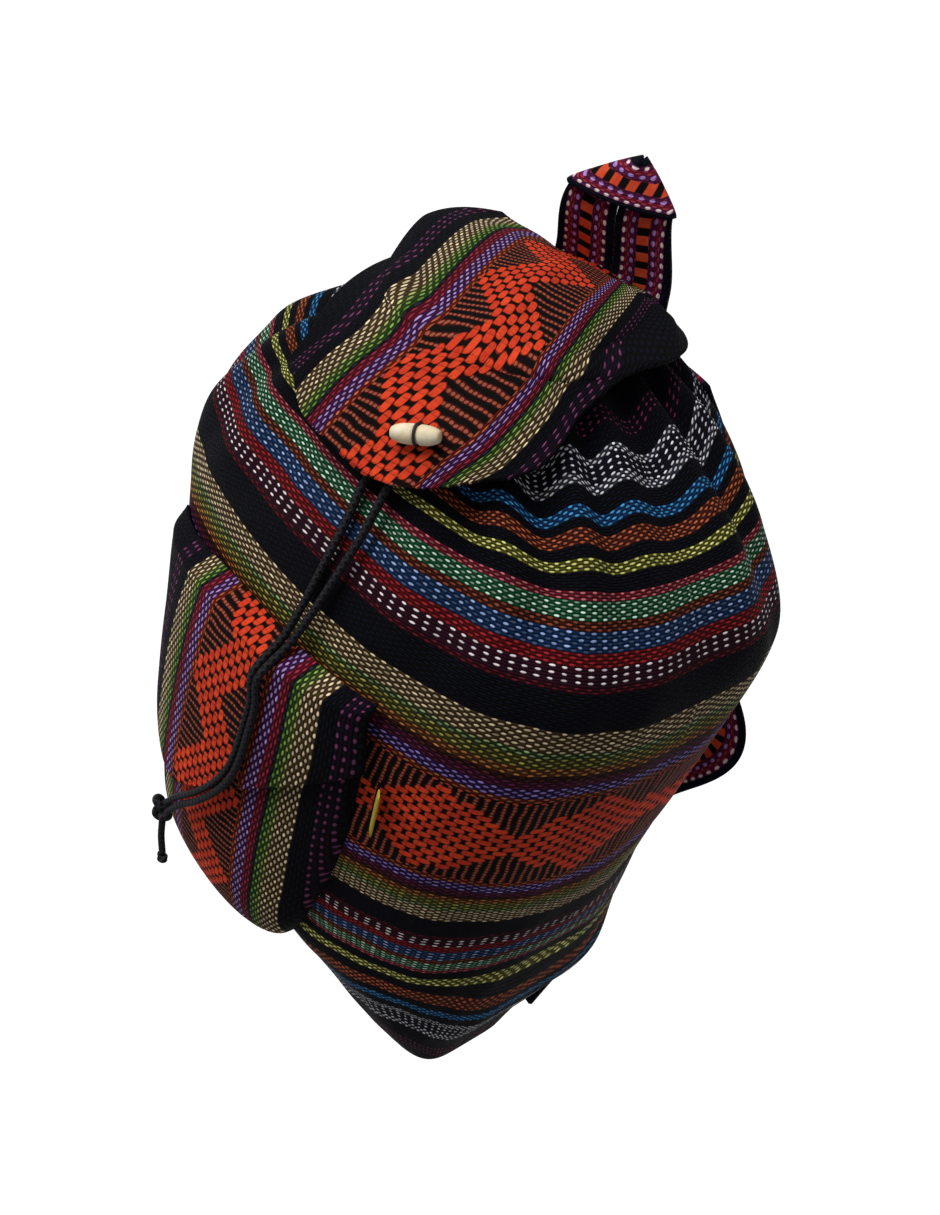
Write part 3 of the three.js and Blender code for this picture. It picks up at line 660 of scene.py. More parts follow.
# Main flap: a strip of the same weave as the pocket, sewn behind the mouth. It lies over the mouth askew and
# its rounded end hangs down the front. along is a share of its length, and x, y and z place its middle line
# as shares of half the sack's width, half its depth and its height.
FLAP_LEFT = 0.069
FLAP_RIGHT = 0.051
FLAP_LENGTH = 0.170
FLAP_CORNER = 0.046
CORD_DIAMETER = 0.004
FLAP_CLEARANCE = CLOTH + CORD_DIAMETER + 6 * GAP
RIM_FADE = 0.005
FLAP_BACK_TAPER = 0.3
FLAP_SLIM = 0.2
FLAP_FIGURE = 0.0198
FLAP_PACKING = 1.9
FLAP_ROWS = 120
FLAP_COLUMNS = 110
FLAP_STEPS = 16
# turn is the way the flap's width points, left and right how far each side slopes down from the middle line
# and left_bend and right_bend how much further its edge does, all in degrees.
FLAP_LINE = table("along x y z turn", [
    (0.0, -0.19, 0.4, 1.0042, 0),
    (0.14, -0.12, 0.26, 1.026, 20),
    (0.42, 0.04, -0.08, 1.042, 27),
    (0.62, 0.145, -0.34, 1.026, 24),
    (0.72, 0.18, -0.46, 1.0, 20),
    (0.83, 0.175, -0.57, 0.963, 15),
    (0.92, 0.165, -0.67, 0.926, 11),
    (1.0, 0.15, -0.74, 0.889, 9),
])
FLAP_LEAN = table("along left left_bend right right_bend", [
    (0.0, 0, 0, 0, 0),
    (0.14, 0, 26, 0, 60),
    (0.42, 8, 45, 4, 105),
    (0.62, 10, 55, 8, 130),
    (0.72, 12, 45, 8, 100),
    (0.83, 10, 20, 6, 55),
    (0.92, 4, 0, 0, 20),
    (1.0, 0, -10, -4, 0),
])
FLAP_STRIPES = [
    stripe(0.0, ORANGE, BLACK),
    stripe(0.0198, (0.6, 0.15, 0.05), (0.26, 0.014, 0.008), 0.6),
    stripe(0.022, (0.5, 0.34, 0.72), (0.09, 0.012, 0.12), 0.7),
    stripe(0.0272, (0.36, 0.03, 0.07), (0.2, 0.006, 0.02), 0.8),
    stripe(0.0305, (0.02, 0.02, 0.04), (0.01, 0.006, 0.014), 0.8),
    stripe(0.0322, (0.24, 0.42, 0.09), (0.035, 0.1, 0.012), 0.6),
    stripe(0.0352, (0.5, 0.58, 0.18), (0.08, 0.12, 0.02), 0.6),
    stripe(0.0378, (0.98, 0.78, 0.5), (0.12, 0.07, 0.025), 0.65),
    stripe(0.0453),
    stripe(0.0515, (0.2, 0.05, 0.14), (0.016, 0.004, 0.02), 0.0),
    stripe(0.058),
]


def clear_of_body(points, clearance):
    """Moves points level and outwards until they are clear of the sack; above the mouth the move fades."""
    a, b, y, n = section(np.minimum(points[..., 2], BODY_HEIGHT))
    dx = np.abs(points[..., 0]) / (a + clearance)
    dy = np.abs(points[..., 1] - y) / (b + clearance)
    size = (dx ** n + dy ** n) ** (1 / n)
    kept = smooth_step(points[..., 2], BODY_HEIGHT, BODY_HEIGHT + RIM_FADE)
    scale = np.where(size < 1, kept + (1 - kept) / np.maximum(size, 0.05), 1)
    return np.stack([points[..., 0] * scale, y + (points[..., 1] - y) * scale, points[..., 2]], -1)


def flap_point(along, across):
    """Point of the flap's upper face; across runs from -1 at its left edge to 1 at its right edge."""
    along, across = np.broadcast_arrays(np.asarray(along, float), np.asarray(across, float))

    def read(column, rows=FLAP_LINE):
        return curve(rows, "along", column, along)

    left = across < 0
    width = np.where(left, FLAP_LEFT, FLAP_RIGHT)
    slope = np.radians(np.where(left, read("left", FLAP_LEAN), read("right", FLAP_LEAN)))
    bend = np.radians(np.where(left, read("left_bend", FLAP_LEAN), read("right_bend", FLAP_LEAN)))
    turn = np.radians(read("turn"))
    shares = np.abs(across)[..., None] * (np.arange(FLAP_STEPS) + 0.5) / FLAP_STEPS
    lean = slope[..., None] + bend[..., None] * shares ** 3
    step = np.abs(across) / FLAP_STEPS * width
    level = np.sign(across) * np.cos(lean).sum(-1) * step
    points = np.stack([
        read("x") * BODY_WIDTH / 2 + level * np.cos(turn),
        read("y") * BODY_DEPTH / 2 + level * np.sin(turn),
        read("z") * BODY_HEIGHT - np.sin(lean).sum(-1) * step,
    ], -1)
    return clear_of_body(points, FLAP_CLEARANCE)


def rounded_end(along, length, half, corner):
    past = along * length - (length - corner)
    reach = np.sqrt(np.maximum(corner * corner - past * past, 0))
    return np.where(past <= 0, 1, np.maximum((half - corner + reach) / half, 0.04))


def sheet_of(name, surface, rows, columns, thickness, along_across):
    """Sheet of even thickness under a surface of two shares, the row's and the column's."""
    v, u = np.meshgrid(np.linspace(0, 1, rows), np.linspace(0, 1, columns), indexing="ij")
    near = 0.006
    across = surface(v, np.minimum(u + near, 1)) - surface(v, np.maximum(u - near, 0))
    along = surface(np.minimum(v + near, 1), u) - surface(np.maximum(v - near, 0), u)
    outer = surface(v, u)
    inner = outer - unit(np.cross(across, along)) * thickness
    stripe_along, stripe_across = along_across(v, u)
    return closed_cloth(name, outer, inner, extend(stripe_along), extend(stripe_across))


def flap_half(v, u):
    across = 2 * u - 1
    half = np.where(across < 0, FLAP_LEFT, FLAP_RIGHT)
    back = 1 - FLAP_BACK_TAPER * (1 - smooth_step(v, -0.05, 0.17)) * (across < 0)
    slim = 1 - FLAP_SLIM * smooth_step(v, 0.15, 0.6) * (across > 0)
    return across * rounded_end(v, FLAP_LENGTH, half, FLAP_CORNER) * back * slim, half


def flap_surface(v, u):
    across, half = flap_half(v, u)
    points = flap_point(v, across)
    rumple = np.sin(9 * v + 5 * across + 1) * np.sin(7 * across - 4 * v) * 0.0009
    return points + np.array([0, 0, 1]) * rumple[..., None]


def flap_stripes(v, u):
    across, half = flap_half(v, u)
    away = across * half
    packed = FLAP_FIGURE + (away - FLAP_FIGURE) * FLAP_PACKING
    return v * FLAP_LENGTH, np.where(away > FLAP_FIGURE, packed, away)


main_flap = sheet_of("flap", flap_surface, FLAP_ROWS, FLAP_COLUMNS, CLOTH, flap_stripes)
flap_cloth = cloth_material(
    "flap_cloth",
    FLAP_STRIPES,
    figure_half=0.0115,
    figure_reach=0.0,
    figure_swing=0.009,
    figure_start=0.0,
    figure_floats=14,
)
dress(main_flap, "main_flap", flap_cloth)

# Front pocket: a pouch of strip cloth sewn to the sack's front along its sides and bottom and open at its
# top, with a flap of its own. down is a share of its height, half of half its width, bulge of its depth.
POCKET_WIDTH = 0.141
POCKET_HEIGHT = 0.184
POCKET_DEPTH = 0.021
POCKET_BOTTOM = 0.058
POCKET_DROOP = 0.017
POCKET_ROUNDING = 0.72
POCKET_TOP = POCKET_BOTTOM + POCKET_HEIGHT
POCKET_SECTIONS = table("down half bulge", [
    (0.0, 0.95, 0.5),
    (0.15, 1.0, 0.66),
    (0.35, 0.98, 0.86),
    (0.55, 0.91, 1.0),
    (0.72, 0.83, 1.0),
    (0.86, 0.7, 0.84),
    (0.95, 0.5, 0.5),
    (1.0, 0.2, 0.08),
])
STRIPE_SHIFT = 0.010
POCKET_ROWS = 90
POCKET_COLUMNS = 110


def body_front(x, height):
    a, b, y, n = section(height)
    share = np.minimum(np.abs(x / a), 0.995)
    return y - b * (1 - share ** n) ** (1 / n)


def pouch_point(angle, height, half, bulge, rest):
    """Point in front of the sack: it stands off by a bulge that fades to rest at its two sides."""
    x = half * np.sin(angle)
    proud = rest + (bulge - rest) * np.maximum(np.cos(angle), 0) ** POCKET_ROUNDING
    return np.stack([x, body_front(x, height) - GAP - proud, height], -1)


def droop(angle, down):
    return POCKET_DROOP * np.maximum(-np.sin(angle) - 0.15, 0) ** 1.5 * np.maximum(1 - down, 0)


def pocket_point(v, u, inset):
    down = 1 - v
    angle = (u - 0.5) * math.pi
    half = curve(POCKET_SECTIONS, "down", "half", down) * POCKET_WIDTH / 2 - inset
    bulge = np.maximum(curve(POCKET_SECTIONS, "down", "bulge", down) * POCKET_DEPTH, CLOTH + 0.0006) - inset
    height = POCKET_TOP - down * POCKET_HEIGHT - droop(angle, down)
    return pouch_point(angle, height, half, bulge, 0)


pocket_v = np.linspace(0, 1, POCKET_ROWS)[:, None] + np.zeros(POCKET_COLUMNS)
pocket_u = np.linspace(0, 1, POCKET_COLUMNS) + np.zeros((POCKET_ROWS, 1))
pocket_along = extend(pocket_v * POCKET_HEIGHT)
pocket_reach = 0.25 + 0.75 * curve(POCKET_SECTIONS, "down", "half", 1 - pocket_v)
pocket_side = np.sin((pocket_u - 0.5) * math.pi) * POCKET_WIDTH / 2
pocket_across = extend(pocket_side * pocket_reach - STRIPE_SHIFT)
front_pocket = closed_cloth(
    "pocket",
    pocket_point(pocket_v, pocket_u, 0),
    pocket_point(pocket_v, pocket_u, CLOTH),
    pocket_along,
    pocket_across,
)
dress(front_pocket, "front_pocket", flap_cloth)

# Pocket flap: a strip of the pocket's cloth sewn to the sack just above the pocket. It lies over the pocket's
# upper half and its rounded end hangs lower at the left, beside the draw cords.
POCKET_FLAP_RISE = 0.008
POCKET_FLAP_LENGTH = 0.116
POCKET_FLAP_EASE = 0.0032
POCKET_FLAP_STEP = 0.055
POCKET_FLAP_REST = CLOTH * 0.6
POCKET_FLAP_LOBE = 0.013
POCKET_FLAP_SLIM = 0.0015
POCKET_FLAP_SPAN = 0.93 * math.pi
POCKET_FLAP_TIP = {"x": -0.015, "height": 0.146, "round": 0.012, "slope": 0.95}


def pocket_flap_angle(u):
    return (u - 0.5) * POCKET_FLAP_SPAN


def pocket_flap_share(u):
    """Share of the flap's full length that its lopsided rounded end leaves at a place across."""
    away = np.sin(pocket_flap_angle(u)) * POCKET_WIDTH / 2 - POCKET_FLAP_TIP["x"]
    rise = (np.hypot(away, POCKET_FLAP_TIP["round"]) - POCKET_FLAP_TIP["round"]) * POCKET_FLAP_TIP["slope"]
    return (POCKET_TOP + POCKET_FLAP_RISE - POCKET_FLAP_TIP["height"] - rise) / POCKET_FLAP_LENGTH


def pocket_flap_surface(v, u):
    """Point of the surface the pocket flap lies on; v runs from 0 at its seam to 1 at its full length."""
    height = POCKET_TOP + POCKET_FLAP_RISE - v * POCKET_FLAP_LENGTH
    down = np.maximum((POCKET_TOP - height) / POCKET_HEIGHT, 0)
    out = smooth_step(v, -0.02, POCKET_FLAP_STEP)
    half = curve(POCKET_SECTIONS, "down", "half", down) * POCKET_WIDTH / 2 + POCKET_FLAP_EASE
    lobe = POCKET_FLAP_LOBE * (1 - smooth_step(v, 0.04, 0.34)) - POCKET_FLAP_SLIM
    half = half + lobe * smooth_step(-u, -0.35, -0.05)
    bulge = curve(POCKET_SECTIONS, "down", "bulge", down) * POCKET_DEPTH + CLOTH + POCKET_FLAP_EASE
    angle = pocket_flap_angle(u)
    proud = POCKET_FLAP_REST + (bulge - POCKET_FLAP_REST) * out
    return pouch_point(angle, height - droop(angle, down), half + CLOTH, proud, POCKET_FLAP_REST)


def pocket_flap_point(v, u):
    return pocket_flap_surface((1 - v) * pocket_flap_share(u), u)


def pocket_flap_stripes(v, u):
    across = np.sin(pocket_flap_angle(u)) * POCKET_WIDTH / 2 - STRIPE_SHIFT
    down = np.linspace(0, 1, 200)
    line = pocket_flap_surface(down, 0.5)
    travelled = gone(line)
    return travelled[-1] - np.interp((1 - v) * pocket_flap_share(u), down, travelled), across


pocket_flap = sheet_of(
    "pocket_flap_cloth", pocket_flap_point, POCKET_ROWS, POCKET_COLUMNS, CLOTH, pocket_flap_stripes
)
dress(pocket_flap, "pocket_flap", flap_cloth)

# Webbing: a narrow woven band, navy at its edges, with white dashes, crimson rows and orange blocks along
# its middle. The hanging loop, both shoulder straps and their tabs are cut from it.
STRAP_WIDTH = 0.029
STRAP_THICKNESS = 0.0022
STRAP_OFFSET = np.array([0, 0, 3 * GAP])
ANCHOR_WIDTH = 0.038
ANCHOR_THICKNESS = 0.005
RIM_BACK = float(section(BODY_HEIGHT)[2] + section(BODY_HEIGHT)[1])
LOOP_FOOT = np.array([-0.012, RIM_BACK + 0.0046, BODY_HEIGHT - 0.006])
# The loop's legs lie side by side, turn and narrow a little on their way up and fold aslant at their top.
# LOOP_TOP_SLOPE is how far the fold rises and how far it leans back for each metre of webbing.
LOOP_FOLD_HEIGHT = 0.042
LOOP_FOLD_RADIUS = 0.0016
LOOP_TURN = math.radians(27)
LOOP_LEAN = 0.0085
LOOP_SQUEEZE = 0.15
LOOP_CORNER = 0.003
LOOP_TOP_SLOPE = (0.62, 0.25)
LOOP_GAP = 0.0004
LOOP_BOW = 0.003
LOOP_COLUMNS = 15
LOOP_LEG_ROWS = 40
LOOP_TOP_ROWS = 30
LOOP_FOLD_ROWS = 7
BAND_COLUMNS = 13
STRAP_LINE = table("x y z turn", [
    (0.26, 0.56, 0.95, -6),
    (0.27, 0.83, 0.85, -10),
    (0.36, 0.98, 0.7, -14),
    (0.5, 1.02, 0.53, -8),
    (0.7, 1.0, 0.425, 4),
    (0.57, 0.87, 0.325, 4),
    (0.52, 0.79, 0.25, -10),
    (0.6, 0.66, 0.185, -14),
    (0.68, 0.44, 0.125, -14),
])
ANCHOR_LINE = table("x y z turn wide", [
    (0.68, 0.44, 0.125, -14, 0.8),
    (0.67, 0.295, 0.068, -14, 0.9),
    (0.655, 0.18, 0.015, -14, 1.0),
])


def smooth_line(points, count):
    """Places and directions along a centripetal spline through points, evenly in its own parameter."""
    points = np.asarray(points, float)
    ends = np.stack([2 * points[0] - points[1], 2 * points[-1] - points[-2]])
    padded = np.concatenate([ends[:1], points, ends[1:]])
    place = np.linspace(0, len(points) - 1, count)
    k = np.minimum(place.astype(int), len(points) - 2)
    t = (place - k)[:, None]
    p0, p1, p2, p3 = padded[k], padded[k + 1], padded[k + 2], padded[k + 3]

    def span(a, b):
        return np.maximum(np.linalg.norm(b - a, axis=1, keepdims=True) ** 0.5, 1e-6)

    d0, d1, d2 = span(p0, p1), span(p1, p2), span(p2, p3)
    m1 = ((p1 - p0) / d0 - (p2 - p0) / (d0 + d1) + (p2 - p1) / d1) * d1
    m2 = ((p2 - p1) / d1 - (p3 - p1) / (d1 + d2) + (p3 - p2) / d2) * d1
    c2 = -3 * p1 + 3 * p2 - 2 * m1 - m2
    c3 = 2 * p1 - 2 * p2 + m1 + m2
    return p1 + m1 * t + c2 * t ** 2 + c3 * t ** 3, unit(m1 + 2 * c2 * t + 3 * c3 * t ** 2), place


def band(name, rows, origin, scale, width, thickness, steps, side=1, dip=0.0):
    """Flat band along the rows of a table; turn says in degrees which way its width points."""
    line = np.array([[row["x"] * side, row["y"], row["z"]] for row in rows]) * scale + origin
    middle, forward, place = smooth_line(line, steps + 1)
    turn = np.interp(place, np.arange(len(rows)), [row["turn"] for row in rows])
    turn = np.radians(turn if side > 0 else 180 - turn)
    wide = np.interp(place, np.arange(len(rows)), [row.get("wide", 1) for row in rows])
    level = math.cos(dip)
    across = np.stack([np.cos(turn) * level, np.sin(turn) * level, np.full(len(turn), -math.sin(dip))], -1)
    across = unit(across - forward * (across * forward).sum(-1, keepdims=True))
    normal = np.cross(across, forward)
    shares = np.linspace(-1, 1, BAND_COLUMNS)[None, :]
    reach = wide[:, None] * shares * width / 2

    def face(height):
        return middle[:, None] + across[:, None] * reach[..., None] + normal[:, None] * height[..., None]

    travelled = gone(middle)
    along = travelled[:, None] + 0 * reach
    thin = thickness / 2 * (1 - 0.45 * np.abs(shares) ** 6)
    made = closed_cloth(name, face(thin), face(-thin), extend(along), extend(reach))
    return made, float(travelled[-1])


def folded_loop(name):
    """Webbing that runs up one leg, folds aslant across the top and down the other leg beside it."""
    reach = STRAP_WIDTH + LOOP_GAP
    q = np.linspace(0, 1, LOOP_COLUMNS)[None, :]
    corner = LOOP_CORNER * (1 - q) ** 8
    fold_height = LOOP_FOLD_HEIGHT + q * STRAP_WIDTH + corner * 0.5
    fold_side = reach - q * STRAP_WIDTH - corner
    up = np.linspace(0, 1, LOOP_LEG_ROWS)[:, None]
    round_fold = np.linspace(0, math.pi, LOOP_FOLD_ROWS)[1:-1, None]
    beyond = LOOP_FOLD_RADIUS * np.sin(round_fold) * 0.7 * (1 - q ** 6)
    ahead = LOOP_FOLD_RADIUS * (1 - np.cos(round_fold)) + 0 * q
    over = np.linspace(0, 1, LOOP_TOP_ROWS)[:, None]
    leg_side = reach - q * STRAP_WIDTH - corner * up ** 6
    leg_height = fold_height * up
    top_side = fold_side * (2 * over - 1)
    top_height = fold_height - 0.001 * np.sin(over * math.pi) * (1 - q)
    side = [-leg_side, -fold_side - beyond, top_side, (fold_side + beyond)[::-1], leg_side[::-1]]
    height = [leg_height, fold_height + beyond, top_height, (fold_height + beyond)[::-1], leg_height[::-1]]
    top_front = 2 * LOOP_FOLD_RADIUS + LOOP_BOW * np.sin(over * math.pi) + 0 * q
    front = [0 * leg_side, ahead, top_front, ahead[::-1], 0 * leg_side]
    side, height, front = np.concatenate(side), np.concatenate(height), np.concatenate(front)
    front = front + LOOP_BOW * np.sin(np.minimum(height / LOOP_FOLD_HEIGHT, 1) * math.pi)
    grown = smooth_step(height, 0, LOOP_FOLD_HEIGHT)
    turn = LOOP_TURN * (0.5 + 0.5 * grown)
    side = side * (1 - LOOP_SQUEEZE * grown)
    above = np.maximum(height - LOOP_FOLD_HEIGHT, 0)
    x = side * np.cos(turn) + front * np.sin(turn)
    y = side * np.sin(turn) - front * np.cos(turn) - LOOP_LEAN * smooth_step(height, 0.012, LOOP_FOLD_HEIGHT)
    z = np.minimum(height, LOOP_FOLD_HEIGHT) + above * LOOP_TOP_SLOPE[0]
    middle = np.stack([x, y + above * LOOP_TOP_SLOPE[1], z], -1) + LOOP_FOOT
    normal = unit(np.cross(np.gradient(middle, axis=1), np.gradient(middle, axis=0)))
    steps = np.linalg.norm(np.diff(middle, axis=0), axis=2)
    along = np.concatenate([0 * q, np.cumsum(steps, axis=0)])
    along = along + (along.max() - along[-1:]) / 2
    across = np.broadcast_to((q - 0.5) * STRAP_WIDTH, along.shape)
    lift = normal * STRAP_THICKNESS / 2
    made = closed_cloth(name, middle + lift, middle - lift, extend(along), extend(across))
    return made, float(along.max())


WEB_PITCH = 0.0013
WEB_FLOAT = 0.0044
BLOCK_PITCH = 0.0072
BLOCK_EDGE = 0.0031
VIOLET_EDGE = 0.0044
CRIMSON_EDGE = 0.0066
WHITE_EDGE = 0.0088
NAVY_EDGE = 0.011
WEB_GROUND = (0.07, 0.006, 0.04)
WEB_RELIEF = 0.0008


def webbing_material():
    material, along, across = start_material("webbing_band")
    away = across.maths("ABSOLUTE")
    fibre = object_noise(along, FIBRE_SCALE, 3.0)
    row = (across / WEB_PITCH).maths("FLOOR")
    odd = (row * 0.5).maths("FRACT").maths("ABSOLUTE") * 2
    lift = (across / WEB_PITCH).maths("FRACT") - 0.5
    dash = oval((along / WEB_FLOAT + odd * 0.5).maths("FRACT") - 0.5, lift, 0.3, 0.52, 0.6)
    bright_lift = (away / (WHITE_EDGE - CRIMSON_EDGE)).maths("FRACT") - 0.5
    bright = oval((along / WEB_FLOAT).maths("FRACT") - 0.5, bright_lift, 0.3, 0.45, 0.6)
    block = ((along / BLOCK_PITCH).maths("FRACT") - 0.5).maths("ABSOLUTE")
    in_block = 1 - block.step(0.25, 0.31)
    middle = in_block.mix(BLACK, (fibre * 1.3 - 0.2).mix(ORANGE_RED, (0.62, 0.1, 0.035)))
    violet_row = bright.mix(WEB_GROUND, (0.42, 0.24, 0.6))
    white_row = bright.mix(WEB_GROUND, (0.85, 0.66, 0.66))
    colour = (away > BLOCK_EDGE).mix(middle, dash.mix((0.04, 0.004, 0.02), (0.14, 0.015, 0.06)))
    colour = (away > VIOLET_EDGE).mix(colour, violet_row)
    colour = (away > CRIMSON_EDGE).mix(colour, dash.mix((0.12, 0.006, 0.016), (0.3, 0.03, 0.06)))
    colour = (away > WHITE_EDGE).mix(colour, white_row)
    colour = (away > NAVY_EDGE).mix(colour, dash.mix(NAVY, NAVY_FLOAT))
    in_middle = away < BLOCK_EDGE
    height = in_middle * in_block * 0.9 + (1 - in_middle) * dash * 0.6 + fibre * FIBRE_RELIEF
    return finish_material(material, colour, CLOTH_ROUGHNESS, height, WEB_RELIEF)


webbing = webbing_material()
BODY_SCALE = np.array([BODY_WIDTH / 2, BODY_DEPTH / 2, BODY_HEIGHT])
hang_loop, loop_length = folded_loop("loop")
straps = [(hang_loop, "hang_loop", loop_length)]
for side, word in ((1, "right"), (-1, "left")):
    strap, length = band(
        f"strap_{word}", STRAP_LINE, STRAP_OFFSET, BODY_SCALE, STRAP_WIDTH, STRAP_THICKNESS, 200, side
    )
    straps.append((strap, f"shoulder_strap_{word}", length))
    anchor, _ = band(
        f"anchor_{word}", ANCHOR_LINE, np.zeros(3), BODY_SCALE, ANCHOR_WIDTH, ANCHOR_THICKNESS, 30, side
    )
    dress(anchor, f"strap_anchor_{word}", webbing)
for strap, node, length in straps:
    dress(strap, node, webbing)

# Toggle: a small barrel of pale wood, turned with a groove round its middle. Dark thread in the groove sews
# it on the flap near its tip.
TOGGLE_LENGTH = 0.019
TOGGLE_DIAMETER = 0.0076
THREAD_DIAMETER = 0.0011
TOGGLE_ALONG = 0.885
TOGGLE_ACROSS = 0.17
TOGGLE_TURN = math.radians(26)
THREAD_PLACE = 0.04
GROOVE = THREAD_DIAMETER * 0.6


def lathe(name, profile, frame_axes, centre, sides):
    """Closed solid turned round its second axis from a profile of (radius, place)."""
    x_axis, y_axis, z_axis = frame_axes
    points = [centre + y_axis * profile[0][1]]
    turns = 2 * np.pi * np.arange(sides) / sides
    spokes = [x_axis * np.cos(turn) + z_axis * np.sin(turn) for turn in turns]
    for radius, place in profile[1:-1]:
        points += [centre + spoke * radius + y_axis * place for spoke in spokes]
    points.append(centre + y_axis * profile[-1][1])
    rings = len(profile) - 2
    faces = [(0, 1 + (k + 1) % sides, 1 + k)[::-1] for k in range(sides)]
    for r in range(rings - 1):
        a, b = 1 + r * sides, 1 + (r + 1) * sides
        faces += [(a + k, a + (k + 1) % sides, b + (k + 1) % sides, b + k)[::-1] for k in range(sides)]
    last = 1 + (rings - 1) * sides
    faces += [(last + k, last + (k + 1) % sides, len(points) - 1)[::-1] for k in range(sides)]
    thing = smooth_object(name, points, faces)
    outward = bmesh.new()
    outward.from_mesh(thing.data)
    bmesh.ops.recalc_face_normals(outward, faces=outward.faces)
    outward.to_mesh(thing.data)
    outward.free()
    return thing


def turned(vector, axis, angle):
    return vector * math.cos(angle) + np.cross(axis, vector) * math.sin(angle)


def flap_way(along, across):
    """Direction on the flap under the toggle, between points a share before and after its place."""
    after = flap_point(TOGGLE_ALONG + along, TOGGLE_ACROSS + across)
    return unit(after - flap_point(TOGGLE_ALONG - along, TOGGLE_ACROSS - across))


toggle_down = flap_way(0.03, 0)
toggle_side = flap_way(0, 0.1)
toggle_up = unit(-np.cross(toggle_side, toggle_down))
toggle_axis = unit(turned(toggle_side, toggle_up, TOGGLE_TURN))
toggle_lift = TOGGLE_DIAMETER / 2 + THREAD_DIAMETER + 7 * GAP
toggle_centre = flap_point(TOGGLE_ALONG, TOGGLE_ACROSS) + toggle_up * toggle_lift
toggle_axes = (np.cross(toggle_axis, toggle_up), toggle_axis, toggle_up)
barrel_radius = TOGGLE_DIAMETER / 2
barrel_half = TOGGLE_LENGTH / 2
thread_height = THREAD_PLACE * TOGGLE_LENGTH
barrel = [(0, -barrel_half), (barrel_radius * 0.3, -barrel_half)]
for share in np.linspace(-1, 1, 41):
    bulge = barrel_radius * (1 - 0.42 * abs(share) ** 3.4)
    groove = GROOVE * math.exp(-(((share * barrel_half - thread_height) / 0.0011) ** 4))
    barrel.append((bulge - groove, share * barrel_half * 0.97))
barrel += [(barrel_radius * 0.3, barrel_half), (0, barrel_half)]
toggle = lathe("toggle_barrel", barrel, toggle_axes, toggle_centre, 48)


def wood_material():
    material = bpy.data.materials.new("toggle_wood")
    material.use_nodes = True
    tree = material.node_tree
    start = Wire(tree, tree.nodes.new("ShaderNodeTexCoord").outputs[3])
    grain = start.node("ShaderNodeTexNoise", {}, {"Vector": start, "Scale": 160.0, "Detail": 4.0})
    colour = grain.step(0.35, 0.7).mix((0.68, 0.56, 0.36), (0.82, 0.75, 0.58))
    return finish_material(material, colour, 0.42, grain, 0.0002)


dress(toggle, "toggle", wood_material())


def tube(name, points, diameter, sides, closed=False):
    """Round tube along points, with a UV map of metres along it and round it."""
    points = np.asarray(points, float)
    nxt = np.roll(points, -1, 0) if closed else np.concatenate([points[1:], 2 * points[-1:] - points[-2:-1]])
    last = np.roll(points, 1, 0) if closed else np.concatenate([2 * points[:1] - points[1:2], points[:-1]])
    forward = unit(nxt - last)
    beside = np.empty_like(points)
    beside[0] = unit(np.cross(forward[0], (0.3, 1, 0.2)))
    for k in range(1, len(points)):
        beside[k] = unit(beside[k - 1] - forward[k] * beside[k - 1].dot(forward[k]))
    above = np.cross(forward, beside)
    if closed:
        twist = math.atan2(beside[-1].dot(above[0]), beside[-1].dot(beside[0]))
        part = -twist * np.arange(len(points)) / len(points)
        beside, above = (
            beside * np.cos(part)[:, None] + above * np.sin(part)[:, None],
            above * np.cos(part)[:, None] - beside * np.sin(part)[:, None],
        )
    turns = 2 * np.pi * np.arange(sides) / sides
    rings = points[:, None] + diameter / 2 * (
        beside[:, None] * np.cos(turns)[None, :, None] + above[:, None] * np.sin(turns)[None, :, None]
    )
    count = len(points)
    travelled = gone(points)
    faces, uvs = [], []
    for k in range(count if closed else count - 1):
        m = (k + 1) % count
        far = travelled[k] + (travelled[1] if m == 0 else travelled[m] - travelled[k])
        for s in range(sides):
            q = (s + 1) % sides
            faces.append((k * sides + s, k * sides + q, m * sides + q, m * sides + s))
            low, high = s / sides * math.pi * diameter, (s + 1) / sides * math.pi * diameter
            uvs += [(travelled[k], low), (travelled[k], high), (far, high), (far, low)]
    if not closed:
        faces += [tuple(range(sides))[::-1], tuple((count - 1) * sides + s for s in range(sides))]
        uvs += [(0, 0)] * (2 * sides)
    return smooth_object(name, rings.reshape(-1, 3), faces, uvs)


thread_ring = barrel_radius - GROOVE + GAP + THREAD_DIAMETER / 2
thread_middle = toggle_centre + toggle_axes[1] * thread_height
thread_points = [
    thread_middle + (toggle_axes[0] * np.cos(turn) + toggle_axes[2] * np.sin(turn)) * thread_ring
    for turn in 2 * np.pi * np.arange(48) / 48
]
toggle_thread = tube("toggle_thread_ring", thread_points, THREAD_DIAMETER, 12, closed=True)
dress(toggle_thread, "toggle_thread", plain_material("dark_thread", (0.012, 0.009, 0.008), 0.7))

